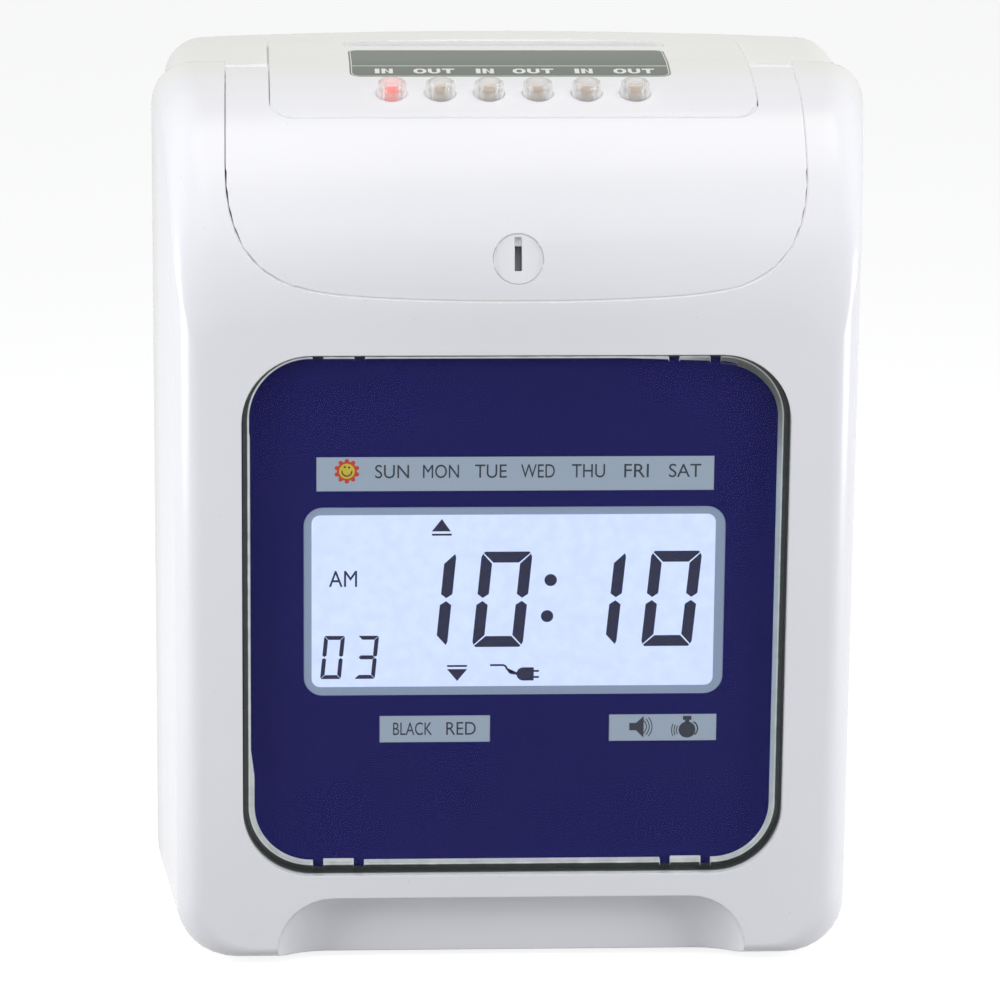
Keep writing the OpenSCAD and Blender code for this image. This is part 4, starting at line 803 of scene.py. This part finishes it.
plate = metal("zinc_sheet", tint(186, 189, 192), 0.38, (0.05, 1, 1))
ground = metal("ground_rod", tint(212, 213, 214), 0.16, (0.02, 1, 1), 0.08)
cast = metal("cast_head", tint(122, 124, 127), 0.5, (1, 1, 1), 0.3)
can = metal("motor_can", tint(190, 191, 194), 0.3, (1, 0.05, 1))
turned_brass = metal("turned_brass", tint(206, 172, 96), 0.26, (1, 1, 0.05))
nylon = moulded("white_nylon", tint(226, 224, 214), 0.45, 0.05)
soft_black = rubber("roller_rubber", tint(58, 58, 60), 0.7)
belt_black = rubber("belt_rubber", tint(36, 36, 36), 0.65)
for name, node, material, body in (
        ("frame_plate_left", "frame_left", plate, "case"),
        ("frame_plate_right", "frame_right", plate, "case"),
        ("base_plate", "mechanism_base", plate, "case"),
        ("front_guide", "card_guide_front", plate, "case"),
        ("rear_guide", "card_guide_rear", plate, "case"),
        ("platen_bar", "platen", soft_black, "case"),
        ("rails", "carriage_rails", ground, "case"),
        ("carriage_block", "print_carriage", black_plastic, "carriage"),
        ("needle_head", "print_head", cast, "carriage"),
        ("belt_motor", "carriage_motor", can, "case"),
        ("drive_wheel", "motor_pulley", turned_brass, "drive_pulley"),
        ("return_axle", "idler_post", ground, "case"),
        ("return_wheel", "idler_pulley", nylon, "return_pulley"),
        ("belt", "carriage_belt", belt_black, "case"),
        ("card_motor", "feed_motor", can, "case"),
        ("pinion_gear", "feed_pinion", turned_brass, "pinion"),
        ("roller_gear", "feed_gear", nylon, "feed"),
        ("roller_shaft", "feed_shaft", ground, "feed"),
        ("roller_tyres", "feed_tyres", soft_black, "feed"),
        ("pinch_wheel", "pinch_roller", soft_black, "pinch"),
        ("pinch_arm", "pinch_bracket", plate, "case"),
        ("card_eye", "card_sensor", black_plastic, "case"),
        ("ribbon_case", "ribbon_cartridge", black_plastic, "case"),
        ("ribbon_wheel", "ribbon_knob", nylon, "knob")):
    piece(name, refined(node), material, body, slot_of(node), node)

# Electrics: the main board with its parts, the backup battery, the buzzer, the transformer and the
# mains inlet at the back.
sleeve = moulded("battery_sleeve", tint(66, 158, 86), 0.3, 0.03)
core = metal("varnished_core", tint(92, 90, 90), 0.5, (1, 1, 0.03), 0.3)
for name, node, material in (
        ("logic_board", "main_board", solder_mask), ("logic_parts", "board_parts", black_plastic),
        ("battery", "backup_battery", sleeve), ("sounder", "buzzer", black_plastic),
        ("mains_transformer", "transformer", core), ("mains_inlet", "power_inlet", black_plastic)):
    piece(name, refined(node), material, "case", slot_of(node), node)

# Studio: a pale floor that keeps the shadow, a white surround, two large soft lights overhead and in
# front, and a small one close to each side for the edges.


def seen_rays(tree):
    """1 for what is seen straight, in a mirror or through glass, and 0 for light that only fills."""
    path = tree.nodes.new("ShaderNodeLightPath")
    kinds = ("Is Camera Ray", "Is Glossy Ray", "Is Transmission Ray")
    return sum(Wire(tree, path.outputs[kind]) for kind in kinds)


def white_stage(name, colour, glow):
    """Pale surface that looks near white to the camera and in mirrors, but keeps its shadow."""
    material, place = begin(name)
    seen = seen_rays(material.node_tree)
    surface = place.node("ShaderNodeBsdfDiffuse", {}, {"Color": colour})
    light = place.node("ShaderNodeEmission", {}, {"Color": (1, 1, 1, 1), "Strength": glow})
    dark = place.node("ShaderNodeEmission", {}, {"Color": (0, 0, 0, 1), "Strength": 0.0})
    lit = place.node("ShaderNodeMixShader", {}, {0: seen, 1: dark, 2: light})
    return close(material, place, place.node("ShaderNodeAddShader", {}, {0: surface, 1: lit}))


reach = 4.0
corners = [(-reach, -reach, 0), (reach, -reach, 0), (reach, reach, 0), (-reach, reach, 0)]
floor_mesh = bpy.data.meshes.new("floor")
floor_mesh.from_pydata(corners, [], [(0, 1, 2, 3)])
floor_mesh.materials.append(white_stage("pale_floor", (0.38, 0.38, 0.38, 1.0), 0.84))
floor = bpy.data.objects.new("floor", floor_mesh)
bpy.context.scene.collection.objects.link(floor)

world = bpy.data.worlds.new("studio")
world.use_nodes = True
bpy.context.scene.world = world
world.node_tree.nodes.clear()
seen = seen_rays(world.node_tree)
ambient = seen.node("ShaderNodeBackground", {}, {"Color": (0.95, 0.98, 1.04, 1), "Strength": 0.22})
backdrop = seen.node("ShaderNodeBackground", {}, {"Color": (1, 1, 1, 1), "Strength": 1.0})
seen.node("ShaderNodeOutputWorld", {}, {"Surface": seen.node("ShaderNodeMixShader", {}, {
    0: seen, 1: ambient, 2: backdrop})})

aim = Vector((0.0, 0.0, 0.13))
for name, spot, size, power, colour in (
        ("overhead", (0.05, -0.15, 0.85), (0.9, 0.5), 3.35, (1.0, 0.985, 0.945)),
        ("front", (0.02, -0.7, 0.75), (0.9, 0.5), 1.5, (0.97, 0.985, 1.04)),
        ("left", (-0.49, -0.21, 0.17), (0.22, 0.26), 1.48, (0.99, 0.995, 1.01)),
        ("right", (0.5, -0.22, 0.15), (0.2, 0.24), 1.4, (0.99, 0.995, 1.01))):
    lamp = bpy.data.lights.new(name, "AREA")
    lamp.shape = "RECTANGLE"
    lamp.size, lamp.size_y = size
    lamp.energy = power
    lamp.color = colour
    thing = bpy.data.objects.new(name, lamp)
    thing.location = spot
    thing.rotation_euler = (aim - Vector(spot)).to_track_quat("-Z", "Y").to_euler()
    bpy.context.scene.collection.objects.link(thing)

# Camera: a long lens, 15 degrees above the horizontal and 3 degrees to the left of the front.
camera = bpy.data.cameras.new("camera")
camera.lens, camera.sensor_width = 180.235, 36.0
camera.shift_x, camera.shift_y = -0.00548, -0.01732
rise, yaw, roll = math.radians(15.0), math.radians(3.09), math.radians(0.56)
back = Vector((-math.sin(yaw) * math.cos(rise), -math.cos(yaw) * math.cos(rise), math.sin(rise)))
right = (-back).cross(Vector((0, 0, 1))).normalized()
up = right.cross(-back)
turned = Matrix((right * math.cos(roll) + up * math.sin(roll),
                 up * math.cos(roll) - right * math.sin(roll), back))
eye = Vector((-0.07593, -1.40342, 0.50543))
camera_object = bpy.data.objects.new("camera", camera)
camera_object.matrix_world = Matrix.Translation(eye) @ turned.transposed().to_4x4()
bpy.context.scene.collection.objects.link(camera_object)
bpy.context.scene.camera = camera_object
bpy.context.scene.view_settings.view_transform = "Standard"
